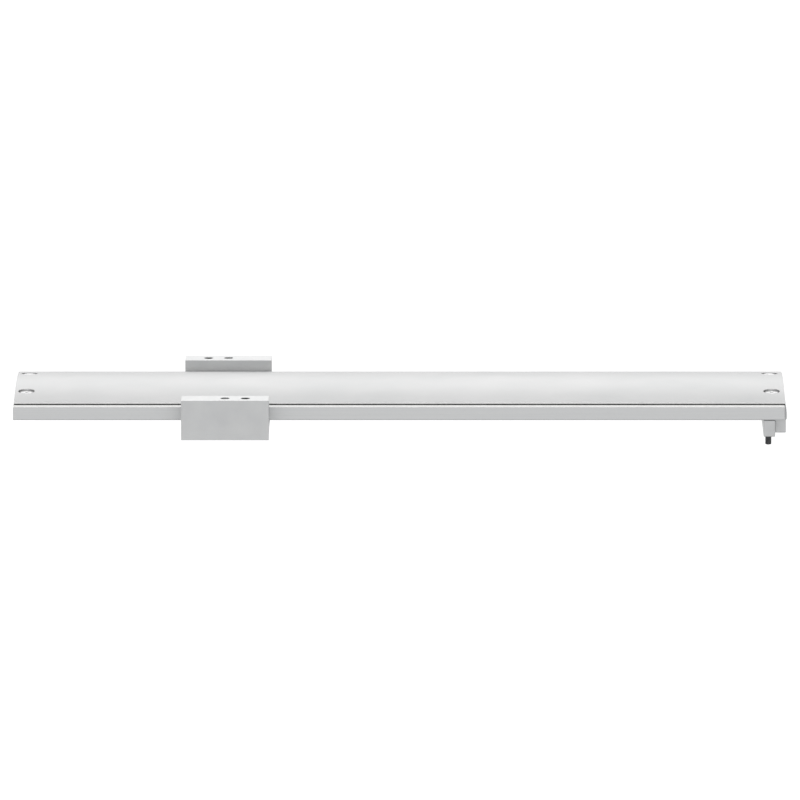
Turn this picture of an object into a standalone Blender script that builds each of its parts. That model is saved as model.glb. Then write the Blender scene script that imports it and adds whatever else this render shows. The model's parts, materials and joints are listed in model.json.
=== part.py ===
"""Camera slider: a flat tray rail under a domed cover, with a saddle carriage that runs along it.

The saddle hangs round the rail on two profile guide rails under the tray. A toothed belt in the
tray carries it, driven by a vertical shaft at the right-hand end.
Metres. +X along the rail, +Y to the rear, +Z up. The origin is on the rail's underside, at its centre.
"""
import math

import bmesh
import bpy
from mathutils import Matrix, Vector

# ---------------------------------------------------------------- clearances
SEAT_GAP = 0.0003        # between two pieces that rest on each other
FIT_GAP = 0.0001         # radial, between a round piece and the bore that holds it
RUNNING_GAP = 0.00006    # radial, between a turning shaft and its bearing
SCREW_GAP = 0.00015      # radial, between a screw's shank and its hole
SLIDE_GAP = 0.0005       # between the belt clamp and the slot it runs in
END_GAP = 0.0010         # left between the saddle and the bumpers at the ends of its travel
TIP_GAP = 0.0010         # left beyond a screw's tip in a blind hole
SKIN = 0.0010            # metal left under a hole that stops inside a piece
OVERRUN = 0.0010         # how far a cutter runs past the face it opens

# ---------------------------------------------------------------- rail and cover
RAIL_LENGTH = 0.7980
RAIL_WIDTH = 0.1912
RAIL_HEIGHT = 0.0137
RAIL_FLOOR = 0.0035
RAIL_SIDE = 0.0155
RAIL_CHAMFER = 0.0010
LEDGE = 0.0094
LIP_GAP = 0.0017
LIP_THICKNESS = 0.0011
DOME_RISE = 0.00735
DOME_SHELL = 0.0022
DOME_FOOT_INSET = 0.0022
DOME_FOOT_WIDTH = 0.0032
DOME_SHORT_LEFT = 0.0006
DOME_PAST_RIGHT = 0.0007
COVER_SCREW_INSET = 0.0127
COVER_SCREW_EDGE = 0.0471
SPOT_RADIUS = 0.0085
SPOT_DEPTH = 0.0029
SPOT_RIM = 0.0025
BOSS_LENGTH = 0.0150
BOSS_WIDTH = 0.0180
END_PLATE = 0.0030
END_PLATE_SCREW_IN = 0.0060
END_PLATE_SCREW_HEIGHT = 0.0085
END_CAP_CROWN = 0.0015
END_CAP_BASE = 0.0006
END_CAP_SCREW_EDGE = 0.0051
END_CAP_SCREW_LENGTH = 0.0080
END_CAP_LEAN = 0.62        # below 1 puts the swell low on the cap
END_CAP_FULLNESS = 0.75    # below 1 makes the swell fuller
COVER_SCREW_BITE = 0.0060  # how far the cover's screws go into the bosses
END_PLATE_SCREW_BITE = 0.0050

# ---------------------------------------------------------------- guides under the rail
GUIDE_SPACING = 0.1120
GUIDE_WIDTH = 0.0090
GUIDE_HEIGHT = 0.0065
GUIDE_GROOVE = 0.0009
GUIDE_SCREW_PITCH = 0.6800
BLOCK_LENGTH = 0.0289
BLOCK_WIDTH = 0.0200
BLOCK_HEIGHT = 0.0080
BLOCK_CLEAR = 0.0020
BLOCK_SPREAD = 0.0540

# ---------------------------------------------------------------- saddle carriage
SADDLE_X = -0.1794
SADDLE_LENGTH = 0.0905
SADDLE_WALL = 0.0265
SADDLE_SIDE_GAP = 0.0022
SADDLE_TOP = 0.02615
SADDLE_DROP = 0.01545
SADDLE_SEAT = 0.0170
CAMERA_HOLE_RADIUS = 0.0047
CAMERA_HOLE_DEPTH = 0.0160
CAMERA_HOLE_OFFSET = 0.0210
COUNTERBORE_DEPTH = 0.0056
PLATE_SCREW_SPREAD = 0.0600
PLATE_SCREW_OUT = 0.0020
SADDLE_EDGE = 0.0003

# ---------------------------------------------------------------- drive
SHAFT_RADIUS = 0.0032
SHAFT_DROP = 0.0440
SHAFT_INSET = 0.0146
PULLEY_TEETH = 18
BELT_PITCH = 0.0030
BELT_WIDTH = 0.0080
BELT_THICKNESS = 0.0014
TOOTH_DEPTH = 0.0010
FLANGE_LIP = 0.0020
FLANGE_THICKNESS = 0.0010
BELT_SIDE_GAP = 0.0005
PULLEY_LIFT = 0.0031
BUSH_WALL = 0.0006
BEARING_RADIUS = 0.0070
BEARING_HEIGHT = 0.0032
BEARING_STAND = 0.0010
BEARING_RACE = 0.0010
BEARING_STEP = 0.0002
BEARING_SHIELD_SINK = 0.0004
SHAFT_CLEARANCE = 0.0010
SHAFT_STAND = 0.0010
SHAFT_TIP_EDGE = 0.0008
SHAFT_FLAT_DROP = 0.0020
SHAFT_FLAT_DEPTH = 0.0007
TOOTH_GAP_RADIUS = 0.0008
IDLER_INSET = 0.0270
IDLER_AXLE_RADIUS = 0.0025
CARRIER_THICKNESS = 0.0023
UPSTAND_THICKNESS = 0.0060
UPSTAND_WIDTH = 0.0140
CARRIER_SETBACK = 0.0040
CARRIER_SIDE = 0.0010
AXLE_HEAD_LIP = 0.0020
AXLE_HEAD_HEIGHT = 0.0014
CLAMP_LENGTH = 0.0180
SLOT_WIDTH = 0.0075
CLAMP_BASE_HEIGHT = 0.0030
CLAMP_BASE_LENGTH = 0.0340
CLAMP_BASE_WIDTH = 0.0160
CLAMP_UNDER_COVER = 0.0012
CLAMP_UNDER_BELT = 0.0020

# ---------------------------------------------------------------- blocks under the right end, stops
CROSSBAR_THICKNESS = 0.0120
CROSSBAR_INSET = 0.0099
CROSSBAR_DROP = 0.0175
CROSSBAR_EDGE = 0.0010
END_BLOCK_SETBACK = 0.0200
END_BLOCK_PAST = 0.0016
END_BLOCK_DROP = 0.0170
END_BLOCK_EDGE = 0.0008
BAR_SCREW_IN = 0.0044
BAR_SCREW_HEAD_SINK = 0.0045
BAR_SCREW_BITE = 0.0045
END_BLOCK_SCREW_SPREAD = 0.1100
STOP_THICKNESS = 0.0100
STOP_INSET = 0.0050
STOP_WIDTH = 0.0360
STOP_DROP = 0.0146
BUMPER_RADIUS = 0.0036
BUMPER_THICKNESS = 0.0030
BUMPER_SPREAD = 0.0240
BUMPER_HEIGHT = 0.0110
BUMPER_EDGE = 0.0007

# ---------------------------------------------------------------- fineness of round work
ROUND_STEPS = 24
SMALL_STEPS = 12
ARC_STEPS = 24
END_CAP_STEPS = 10
TOOTH_GAP_STEPS = 10
BELT_END_STEPS = 20
MERGE_DISTANCE = 0.000001
FLAT_ANGLE = 0.05          # degrees

# ---------------------------------------------------------------- places worked out from the sizes
RAIL_HALF = RAIL_LENGTH / 2
SIDE_Y = RAIL_WIDTH / 2
CAVITY_Y = SIDE_Y - RAIL_SIDE
DOME_Y = SIDE_Y - LEDGE
LIP_BOTTOM = RAIL_HEIGHT + LIP_GAP
LIP_TOP = LIP_BOTTOM + LIP_THICKNESS
CROWN = LIP_TOP + DOME_RISE
DOME_RADIUS = (DOME_Y ** 2 + DOME_RISE ** 2) / (2 * DOME_RISE)
DOME_CENTRE_Z = CROWN - DOME_RADIUS
COVER_SCREW_X = RAIL_HALF - COVER_SCREW_INSET
COVER_SCREW_Y = SIDE_Y - COVER_SCREW_EDGE
BOSS_END_X = RAIL_HALF - END_PLATE - 2 * SEAT_GAP
BOSS_X = BOSS_END_X - SEAT_GAP - BOSS_LENGTH / 2
END_PLATE_X = RAIL_HALF - SEAT_GAP - END_PLATE / 2
COVER_SCREW_SEAT = DOME_CENTRE_Z + math.sqrt(DOME_RADIUS ** 2 - COVER_SCREW_Y ** 2) - SPOT_DEPTH
COVER_SCREW_LENGTH = COVER_SCREW_SEAT - RAIL_HEIGHT + COVER_SCREW_BITE
PLATE_SCREW_Y = COVER_SCREW_Y - END_PLATE_SCREW_IN
END_PLATE_SCREW_LENGTH = END_PLATE + END_PLATE_SCREW_BITE
END_CAP_SCREW_HEIGHT = RAIL_HEIGHT / 2

SADDLE_INNER_Y = SIDE_Y + SADDLE_SIDE_GAP
SADDLE_OUTER_Y = SADDLE_INNER_Y + SADDLE_WALL
SADDLE_WALL_Y = (SADDLE_INNER_Y + SADDLE_OUTER_Y) / 2
GUIDE_Y = GUIDE_SPACING / 2
GUIDE_BOTTOM = -SEAT_GAP - GUIDE_HEIGHT
BLOCK_TOP = -SEAT_GAP - BLOCK_CLEAR
BLOCK_BOTTOM = BLOCK_TOP - BLOCK_HEIGHT
PLATE_TOP = BLOCK_BOTTOM - SEAT_GAP

PITCH_RADIUS = PULLEY_TEETH * BELT_PITCH / (2 * math.pi)
BELT_INNER = PITCH_RADIUS - BELT_THICKNESS / 6
BELT_OUTER = BELT_INNER + BELT_THICKNESS
TOOTH_RADIUS = BELT_INNER - 2 * FIT_GAP
FLANGE_RADIUS = TOOTH_RADIUS + FLANGE_LIP
PULLEY_BOTTOM = RAIL_FLOOR + PULLEY_LIFT
BELT_BOTTOM = PULLEY_BOTTOM + FLANGE_THICKNESS + BELT_SIDE_GAP
BELT_TOP = BELT_BOTTOM + BELT_WIDTH
PULLEY_TOP = BELT_TOP + BELT_SIDE_GAP + FLANGE_THICKNESS
SHAFT_X = RAIL_HALF - SHAFT_INSET
IDLER_X = -RAIL_HALF + IDLER_INSET
BELT_RUN_Y = -(BELT_INNER + BELT_OUTER) / 2
TENSION_SCREW_HEIGHT = (BELT_BOTTOM + BELT_TOP) / 2
BEARING_BOTTOM = RAIL_FLOOR + BEARING_STAND - BEARING_HEIGHT
BEARING_TOP = RAIL_FLOOR + BEARING_STAND

CROSSBAR_X = RAIL_HALF - CROSSBAR_INSET - CROSSBAR_THICKNESS / 2
CROSSBAR_LEFT = CROSSBAR_X - CROSSBAR_THICKNESS / 2
CROSSBAR_RIGHT = CROSSBAR_X + CROSSBAR_THICKNESS / 2
BAR_SCREW_Y = SIDE_Y - RAIL_SIDE + BAR_SCREW_IN
BAR_SCREW_REACH = RAIL_FLOOR + BAR_SCREW_BITE
END_BLOCK_SCREW_X = (CROSSBAR_RIGHT + SEAT_GAP + RAIL_HALF) / 2
GUIDE_HALF = CROSSBAR_LEFT - 2 * SEAT_GAP
GUIDE_INNER_Y = GUIDE_Y - GUIDE_WIDTH / 2 - SEAT_GAP
STOP_X = -RAIL_HALF + STOP_INSET + STOP_THICKNESS / 2
TRAVEL_LEFT = STOP_X + STOP_THICKNESS / 2 + SEAT_GAP + BUMPER_THICKNESS + END_GAP + SADDLE_LENGTH / 2
TRAVEL_RIGHT = CROSSBAR_LEFT - SEAT_GAP - BUMPER_THICKNESS - END_GAP - SADDLE_LENGTH / 2

# Screws: shank radius, head radius, head height, socket radius
COVER_SCREW = (0.0020, 0.0067, 0.0013, 0.0019)
SADDLE_SCREW = (0.0025, 0.00425, 0.0050, 0.0020)
PLATE_SCREW = (0.0020, 0.0035, 0.0022, 0.0013)
GUIDE_SCREW = (0.0015, 0.00275, 0.0028, 0.0011)
BAR_SCREW = (0.0020, 0.0035, 0.0040, 0.0015)
END_BLOCK_SCREW = (0.0015, 0.00275, 0.0030, 0.0011)
CLAMP_SCREW = (0.0010, 0.0019, 0.0014, 0.0007)
END_CAP_SCREW = (0.0012, 0.0020, 0.0008, 0.0007)
# Countersunk screws: shank radius, head radius, head height, socket radius
END_PLATE_SCREW = (0.0015, 0.0030, 0.0017, 0.0010)
TENSION_SCREW = (0.0025, 0.0046, 0.0024, 0.0015)
# Shares of a head's height: its rounded edge and the depth of its socket
HEAD_EDGE_SHARE = 0.18
SOCKET_SHARE = 0.6


# ---------------------------------------------------------------- scene, collections and materials
def clear_scene():
    for obj in list(bpy.data.objects):
        bpy.data.objects.remove(obj, do_unlink=True)


def new_collection(name):
    collection = bpy.data.collections.new(name)
    bpy.context.scene.collection.children.link(collection)
    return collection


def make_material(name, colour, metallic, roughness):
    material = bpy.data.materials.new(name)
    material.use_nodes = True
    shader = material.node_tree.nodes["Principled BSDF"]
    shader.inputs["Base Color"].default_value = (*colour, 1.0)
    shader.inputs["Metallic"].default_value = metallic
    shader.inputs["Roughness"].default_value = roughness
    material.diffuse_color = (*colour, 1.0)
    return material


FINISHES = {
    "anodised": ((0.74, 0.75, 0.75), 0.9, 0.42),
    "cover": ((0.80, 0.81, 0.81), 0.9, 0.45),
    "milled": ((0.70, 0.71, 0.71), 0.9, 0.38),
    "block": ((0.66, 0.67, 0.67), 0.9, 0.40),
    "guide_steel": ((0.55, 0.56, 0.57), 1.0, 0.22),
    "screw_steel": ((0.62, 0.62, 0.62), 1.0, 0.30),
    "dark_steel": ((0.10, 0.10, 0.10), 0.9, 0.35),
    "bronze": ((0.50, 0.33, 0.17), 1.0, 0.35),
    "rubber": ((0.03, 0.03, 0.03), 0.0, 0.80),
}


# ---------------------------------------------------------------- shapes
def link(name, mesh, location, rotation=(0.0, 0.0, 0.0)):
    obj = bpy.data.objects.new(name, mesh)
    parts.objects.link(obj)
    obj.location = location
    obj.rotation_euler = rotation
    return obj


def box(name, low, high):
    """A box between two corners, with its origin at its centre."""
    low, high = Vector(low), Vector(high)
    size = high - low
    mesh = bpy.data.meshes.new(name)
    bm = bmesh.new()
    bmesh.ops.create_cube(bm, size=1.0, matrix=Matrix.Diagonal((*size, 1.0)))
    bm.to_mesh(mesh)
    bm.free()
    return link(name, mesh, (low + high) / 2)


def cylinder(name, radius, length, centre, axis="Z", steps=SMALL_STEPS):
    mesh = bpy.data.meshes.new(name)
    bm = bmesh.new()
    bmesh.ops.create_cone(bm, cap_ends=True, segments=steps, radius1=radius, radius2=radius, depth=length)
    bm.to_mesh(mesh)
    bm.free()
    turn = {"X": (0.0, math.pi / 2, 0.0), "Y": (math.pi / 2, 0.0, 0.0), "Z": (0.0, 0.0, 0.0)}[axis]
    return link(name, mesh, centre, turn)


def turned(name, profile, location=(0.0, 0.0, 0.0), rotation=(0.0, 0.0, 0.0), ring=False, steps=ROUND_STEPS):
    """Turn a (radius, height) profile about Z; it runs from the top down its outer side."""
    mesh = bpy.data.meshes.new(name)
    count = len(profile)
    edges = [(i, i + 1) for i in range(count - 1)]
    if ring:
        edges.append((count - 1, 0))
    mesh.from_pydata([(radius, 0.0, height) for radius, height in profile], edges, [])
    obj = link(name, mesh, location, rotation)
    screw = obj.modifiers.new("turn", "SCREW")
    screw.axis = "Z"
    screw.steps = steps
    screw.render_steps = steps
    screw.use_merge_vertices = True
    screw.merge_threshold = 0.00001
    screw.use_smooth_shade = True
    return obj


def prism(name, outline, start, end, axis="X"):
    """Extrude a flat outline: (y, z) points along X, or (x, y) points along Z."""
    curve = bpy.data.curves.new(name + "_outline", "CURVE")
    curve.dimensions = "2D"
    curve.fill_mode = "BOTH"
    curve.extrude = (end - start) / 2
    spline = curve.splines.new("POLY")
    spline.points.add(len(outline) - 1)
    for point, (u, v) in zip(spline.points, outline):
        point.co = (u, v, 0.0, 1.0)
    spline.use_cyclic_u = True
    guide = bpy.data.objects.new(name + "_outline", curve)
    parts.objects.link(guide)
    middle = (start + end) / 2
    if axis == "X":
        guide.rotation_euler = (math.pi / 2, 0.0, math.pi / 2)
        guide.location = (middle, 0.0, 0.0)
    else:
        guide.location = (0.0, 0.0, middle)
    bpy.context.view_layer.update()
    mesh = bpy.data.meshes.new_from_object(guide.evaluated_get(bpy.context.evaluated_depsgraph_get()))
    mesh.name = name
    bm = bmesh.new()
    bm.from_mesh(mesh)
    bmesh.ops.remove_doubles(bm, verts=bm.verts, dist=MERGE_DISTANCE)
    bmesh.ops.dissolve_limit(bm, angle_limit=math.radians(FLAT_ANGLE), verts=bm.verts, edges=bm.edges)
    bmesh.ops.recalc_face_normals(bm, faces=bm.faces)
    bm.to_mesh(mesh)
    bm.free()
    obj = bpy.data.objects.new(name, mesh)
    parts.objects.link(obj)
    obj.matrix_world = guide.matrix_world
    bpy.data.objects.remove(guide)
    return obj


def split_faces(obj, planes):
    """Part a prism's faces along (point, normal) planes, so its neighbours' seats are faces of their own."""
    bm = bmesh.new()
    bm.from_mesh(obj.data)
    for point, normal in planes:
        everything = bm.verts[:] + bm.edges[:] + bm.faces[:]
        bmesh.ops.bisect_plane(bm, geom=everything, dist=MERGE_DISTANCE, plane_co=point, plane_no=normal)
    bm.to_mesh(obj.data)
    bm.free()


def combine(target, other, operation="DIFFERENCE"):
    """Cut the other shape out of the target, or add it on; the other becomes a hidden guide."""
    parts.objects.unlink(other)
    cutters.objects.link(other)
    other.name = target.name + "_cutter"
    other.hide_render = True
    other.display_type = "WIRE"
    boolean = target.modifiers.new(operation.lower(), "BOOLEAN")
    boolean.operation = operation
    boolean.solver = "EXACT"
    boolean.object = other


def cut_all(target, others):
    for other in others:
        combine(target, other)


def bevel(obj, width, segments=1):
    modifier = obj.modifiers.new("edges", "BEVEL")
    modifier.width = width
    modifier.segments = segments
    modifier.limit_method = "ANGLE"
    modifier.angle_limit = math.radians(40)


def finish(obj, material, parent=None):
    """Give a part its material, and hang it on the empty of its joint if it moves."""
    obj.data.materials.clear()
    obj.data.materials.append(materials[material])
    for polygon in obj.data.polygons:
        polygon.use_smooth = False
    if parent:
        bpy.context.view_layer.update()
        obj.parent = parent
        obj.matrix_parent_inverse = parent.matrix_world.inverted()
    return obj


def joint_empty(name, location):
    empty = bpy.data.objects.new(name, None)
    empty.empty_display_size = 0.02
    parts.objects.link(empty)
    empty.location = location
    return empty


def dome_height(y, shell=0.0):
    """Height of the cover's outer face over y, or of a face that many metres inside it."""
    return DOME_CENTRE_Z + math.sqrt((DOME_RADIUS - shell) ** 2 - y ** 2)


def arc_points(half_width, shell, steps=ARC_STEPS):
    ys = [half_width - 2 * half_width * i / steps for i in range(steps + 1)]
    return [(y, dome_height(y, shell)) for y in ys]


# ---------------------------------------------------------------- screws
DOWN = (0.0, 0.0, 0.0)
UP = (math.pi, 0.0, 0.0)
TO_LEFT = (0.0, math.pi / 2, 0.0)
TO_RIGHT = (0.0, -math.pi / 2, 0.0)
TO_FRONT = (-math.pi / 2, 0.0, 0.0)


def cap_screw(name, sizes, length, seat, rotation=DOWN):
    """A socket screw whose head rests on the seat point; its shank points down before rotation."""
    shank, head, height, socket = sizes
    edge = height * HEAD_EDGE_SHARE
    floor = height * (1 - SOCKET_SHARE)
    profile = [
        (0.0, floor), (socket, floor), (socket, height), (head - edge, height),
        (head, height - edge), (head, 0.0), (shank, 0.0), (shank, -length), (0.0, -length),
    ]
    return turned(name, profile, seat, rotation, steps=SMALL_STEPS)


def countersunk_screw(name, sizes, length, face, rotation=DOWN):
    """A countersunk screw whose head is flush with the face point."""
    shank, head, height, socket = sizes
    floor = -height * SOCKET_SHARE
    profile = [
        (0.0, floor), (socket, floor), (socket, 0.0), (head, 0.0),
        (shank, -height), (shank, -length), (0.0, -length),
    ]
    return turned(name, profile, face, rotation, steps=SMALL_STEPS)


def countersink(name, sizes, length, face, rotation=DOWN):
    """The cutter for a countersunk screw: its cone and hole, open past the face."""
    shank, head, height, _ = sizes
    profile = [
        (0.0, OVERRUN), (head + SCREW_GAP, OVERRUN), (head + SCREW_GAP, 0.0), (shank + SCREW_GAP, -height),
        (shank + SCREW_GAP, -length), (0.0, -length),
    ]
    return turned(name, profile, face, rotation, steps=SMALL_STEPS)


def hole(radius, start, end, axis="Z", steps=SMALL_STEPS):
    """A round cutter between two points that differ along one axis only."""
    start, end = Vector(start), Vector(end)
    return cylinder("hole", radius, (end - start).length, (start + end) / 2, axis, steps)


def screw_hole(sizes, start, end, axis="Z"):
    return hole(sizes[0] + SCREW_GAP, start, end, axis)


# ---------------------------------------------------------------- rail and cover
SIDES = (("front", -1.0), ("rear", 1.0))
ENDS = (("left", -1.0), ("right", 1.0))


def make_base_rail():
    outline = [
        (-SIDE_Y + RAIL_CHAMFER, 0.0), (SIDE_Y - RAIL_CHAMFER, 0.0), (SIDE_Y, RAIL_CHAMFER),
        (SIDE_Y, RAIL_HEIGHT), (CAVITY_Y, RAIL_HEIGHT), (CAVITY_Y, RAIL_FLOOR),
        (-CAVITY_Y, RAIL_FLOOR), (-CAVITY_Y, RAIL_HEIGHT), (-SIDE_Y, RAIL_HEIGHT), (-SIDE_Y, RAIL_CHAMFER),
    ]
    rail = prism("base_rail", outline, -RAIL_HALF, RAIL_HALF)
    split_faces(rail, [((0.0, 0.0, sx * GUIDE_HALF), (0.0, 0.0, 1.0)) for _, sx in ENDS]
                + [((sy * GUIDE_INNER_Y, 0.0, 0.0), (1.0, 0.0, 0.0)) for _, sy in SIDES])
    for _, sx in ENDS:
        for _, sy in SIDES:
            centre = Vector((sx * BOSS_X, sy * COVER_SCREW_Y, 0.0))
            half = Vector((BOSS_LENGTH / 2, BOSS_WIDTH / 2, 0.0))
            low = centre - half + Vector((0.0, 0.0, RAIL_FLOOR / 2))
            high = centre + half + Vector((0.0, 0.0, RAIL_HEIGHT - SEAT_GAP))
            combine(rail, box("boss", low, high), "UNION")
    slot_y = SLOT_WIDTH / 2
    reach = CLAMP_LENGTH / 2 + 2 * SLIDE_GAP
    slot = box("slot", (TRAVEL_LEFT - reach, BELT_RUN_Y - slot_y, -OVERRUN),
               (TRAVEL_RIGHT + reach, BELT_RUN_Y + slot_y, RAIL_FLOOR + OVERRUN))
    cutters_here = [
        slot,
        hole(BEARING_RADIUS + FIT_GAP, (SHAFT_X, 0, BEARING_BOTTOM - SEAT_GAP),
             (SHAFT_X, 0, RAIL_FLOOR + OVERRUN), steps=ROUND_STEPS),
        hole(SHAFT_RADIUS + SHAFT_CLEARANCE, (SHAFT_X, 0, -OVERRUN), (SHAFT_X, 0, RAIL_FLOOR),
             steps=ROUND_STEPS),
    ]
    for _, sx in ENDS:
        for _, sy in SIDES:
            x, y = sx * COVER_SCREW_X, sy * COVER_SCREW_Y
            cutters_here.append(screw_hole(
                COVER_SCREW, (x, y, RAIL_FLOOR + OVERRUN), (x, y, RAIL_HEIGHT + OVERRUN)))
            y = sy * PLATE_SCREW_Y
            cutters_here.append(screw_hole(
                END_PLATE_SCREW, (sx * (BOSS_END_X - END_PLATE_SCREW_LENGTH), y, END_PLATE_SCREW_HEIGHT),
                (sx * (BOSS_END_X + OVERRUN), y, END_PLATE_SCREW_HEIGHT), "X"))
    for _, sy in SIDES:
        y = sy * BAR_SCREW_Y
        cutters_here.append(screw_hole(
            BAR_SCREW, (CROSSBAR_X, y, -OVERRUN), (CROSSBAR_X, y, BAR_SCREW_REACH)))
        y = sy * END_BLOCK_SCREW_SPREAD / 2
        cutters_here.append(screw_hole(
            END_BLOCK_SCREW, (END_BLOCK_SCREW_X, y, -OVERRUN), (END_BLOCK_SCREW_X, y, RAIL_FLOOR + OVERRUN)))
        y = sy * (SIDE_Y - END_CAP_SCREW_EDGE)
        cutters_here.append(screw_hole(
            END_CAP_SCREW, (RAIL_HALF - END_CAP_SCREW_LENGTH, y, END_CAP_SCREW_HEIGHT),
            (RAIL_HALF + OVERRUN, y, END_CAP_SCREW_HEIGHT), "X"))
        for _, sx in ENDS:
            x, y = sx * GUIDE_SCREW_PITCH / 2, sy * GUIDE_Y
            cutters_here.append(screw_hole(GUIDE_SCREW, (x, y, -OVERRUN), (x, y, RAIL_FLOOR + OVERRUN)))
    cut_all(rail, cutters_here)
    finish(rail, "anodised")


def make_dome_cover():
    foot_outer = DOME_Y - DOME_FOOT_INSET
    foot_inner = foot_outer - DOME_FOOT_WIDTH
    foot_bottom = RAIL_HEIGHT + SEAT_GAP
    rim = [(DOME_Y, LIP_BOTTOM), (foot_outer, LIP_BOTTOM), (foot_outer, foot_bottom),
           (foot_inner, foot_bottom)]
    inner = arc_points(foot_inner, DOME_SHELL)
    outer = arc_points(DOME_Y, 0.0)
    mirrored_rim = [(-y, z) for y, z in reversed(rim)]
    outline = list(reversed(outer)) + rim + inner + mirrored_rim
    cover = prism("dome_cover", outline, -RAIL_HALF + DOME_SHORT_LEFT, RAIL_HALF + DOME_PAST_RIGHT)
    pad_half = SPOT_RADIUS + SPOT_RIM
    pad_ends = (COVER_SCREW_X - pad_half, BOSS_END_X)
    pads, recesses = [], []
    for _, sx in ENDS:
        for _, sy in SIDES:
            x, y = sx * COVER_SCREW_X, sy * COVER_SCREW_Y
            top = [y + pad_half - pad_half * i / 4 for i in range(9)]
            pad_outline = [(y - pad_half, foot_bottom), (y + pad_half, foot_bottom)]
            pad_outline += [(across, dome_height(across, DOME_SHELL / 2)) for across in top]
            pad_start, pad_end = sorted(sx * pad_end for pad_end in pad_ends)
            pads.append(prism("pad", pad_outline, pad_start, pad_end))
            recesses.append(hole(
                SPOT_RADIUS, (x, y, COVER_SCREW_SEAT), (x, y, CROWN + OVERRUN), steps=ROUND_STEPS))
            recesses.append(screw_hole(
                COVER_SCREW, (x, y, RAIL_HEIGHT - OVERRUN), (x, y, COVER_SCREW_SEAT + OVERRUN)))
    for pad in pads:
        combine(cover, pad, "UNION")
    cut_all(cover, recesses)
    finish(cover, "cover")
    for end, sx in ENDS:
        for side, sy in SIDES:
            seat = (sx * COVER_SCREW_X, sy * COVER_SCREW_Y, COVER_SCREW_SEAT + SEAT_GAP)
            screw = cap_screw(f"cover_screw_{side}_{end}", COVER_SCREW, COVER_SCREW_LENGTH, seat)
            finish(screw, "screw_steel")


def make_end_plates():
    """Plates that close the cavity between the tray and the cover at both ends."""
    half = CAVITY_Y - SEAT_GAP
    top = arc_points(half, DOME_SHELL + SEAT_GAP, ARC_STEPS // 2)
    outline = [(-half, RAIL_FLOOR + SEAT_GAP), (half, RAIL_FLOOR + SEAT_GAP)] + top
    for end, sx in ENDS:
        inner, outer = sx * (END_PLATE_X - END_PLATE / 2), sx * (END_PLATE_X + END_PLATE / 2)
        plate = prism(f"{end}_end_plate", outline, min(inner, outer), max(inner, outer))
        turn = TO_LEFT if sx > 0 else TO_RIGHT
        for side, sy in SIDES:
            face = (outer, sy * PLATE_SCREW_Y, END_PLATE_SCREW_HEIGHT)
            combine(plate, countersink("sink", END_PLATE_SCREW, END_PLATE + OVERRUN, face, turn))
            screw = countersunk_screw(f"{end}_plate_screw_{side}", END_PLATE_SCREW, END_PLATE_SCREW_LENGTH,
                                      face, turn)
            finish(screw, "screw_steel")
        if end == "left":
            face = (outer, 0.0, TENSION_SCREW_HEIGHT)
            combine(plate, countersink("sink", TENSION_SCREW, END_PLATE + OVERRUN, face, turn))
        finish(plate, "block")


def make_end_cap():
    """The rounded cap on the tray's right end; its outer face swells, most of all low down."""
    low, high = SEAT_GAP, RAIL_HEIGHT
    outline = [(RAIL_HALF + SEAT_GAP, low), (RAIL_HALF + SEAT_GAP, high)]
    for i in range(END_CAP_STEPS + 1):
        t = 1.0 - i / END_CAP_STEPS
        swell = math.sin(math.pi * t ** END_CAP_LEAN) ** END_CAP_FULLNESS if 0.0 < t < 1.0 else 0.0
        outline.append((RAIL_HALF + SEAT_GAP + END_CAP_BASE + END_CAP_CROWN * swell, low + (high - low) * t))
    half = SIDE_Y - SEAT_GAP
    cap = prism("right_end_cap", outline, -half, half, "Z")
    cap.rotation_euler = (math.pi / 2, 0.0, 0.0)
    for side, sy in SIDES:
        face = (RAIL_HALF + SEAT_GAP + END_CAP_BASE, sy * (SIDE_Y - END_CAP_SCREW_EDGE), END_CAP_SCREW_HEIGHT)
        outside = Vector(face) + Vector((2 * OVERRUN, 0.0, 0.0))
        combine(cap, hole(END_CAP_SCREW[1] + SCREW_GAP, face, outside, "X"))
        combine(cap, screw_hole(END_CAP_SCREW, (RAIL_HALF - OVERRUN, face[1], face[2]),
                                (face[0] + OVERRUN, face[1], face[2]), "X"))
        seat = Vector(face) + Vector((SEAT_GAP / 2, 0.0, 0.0))
        length = END_CAP_SCREW_LENGTH - TIP_GAP
        screw = cap_screw(f"end_cap_screw_{side}", END_CAP_SCREW, length, seat, TO_LEFT)
        finish(screw, "screw_steel")
    finish(cap, "block")


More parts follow.
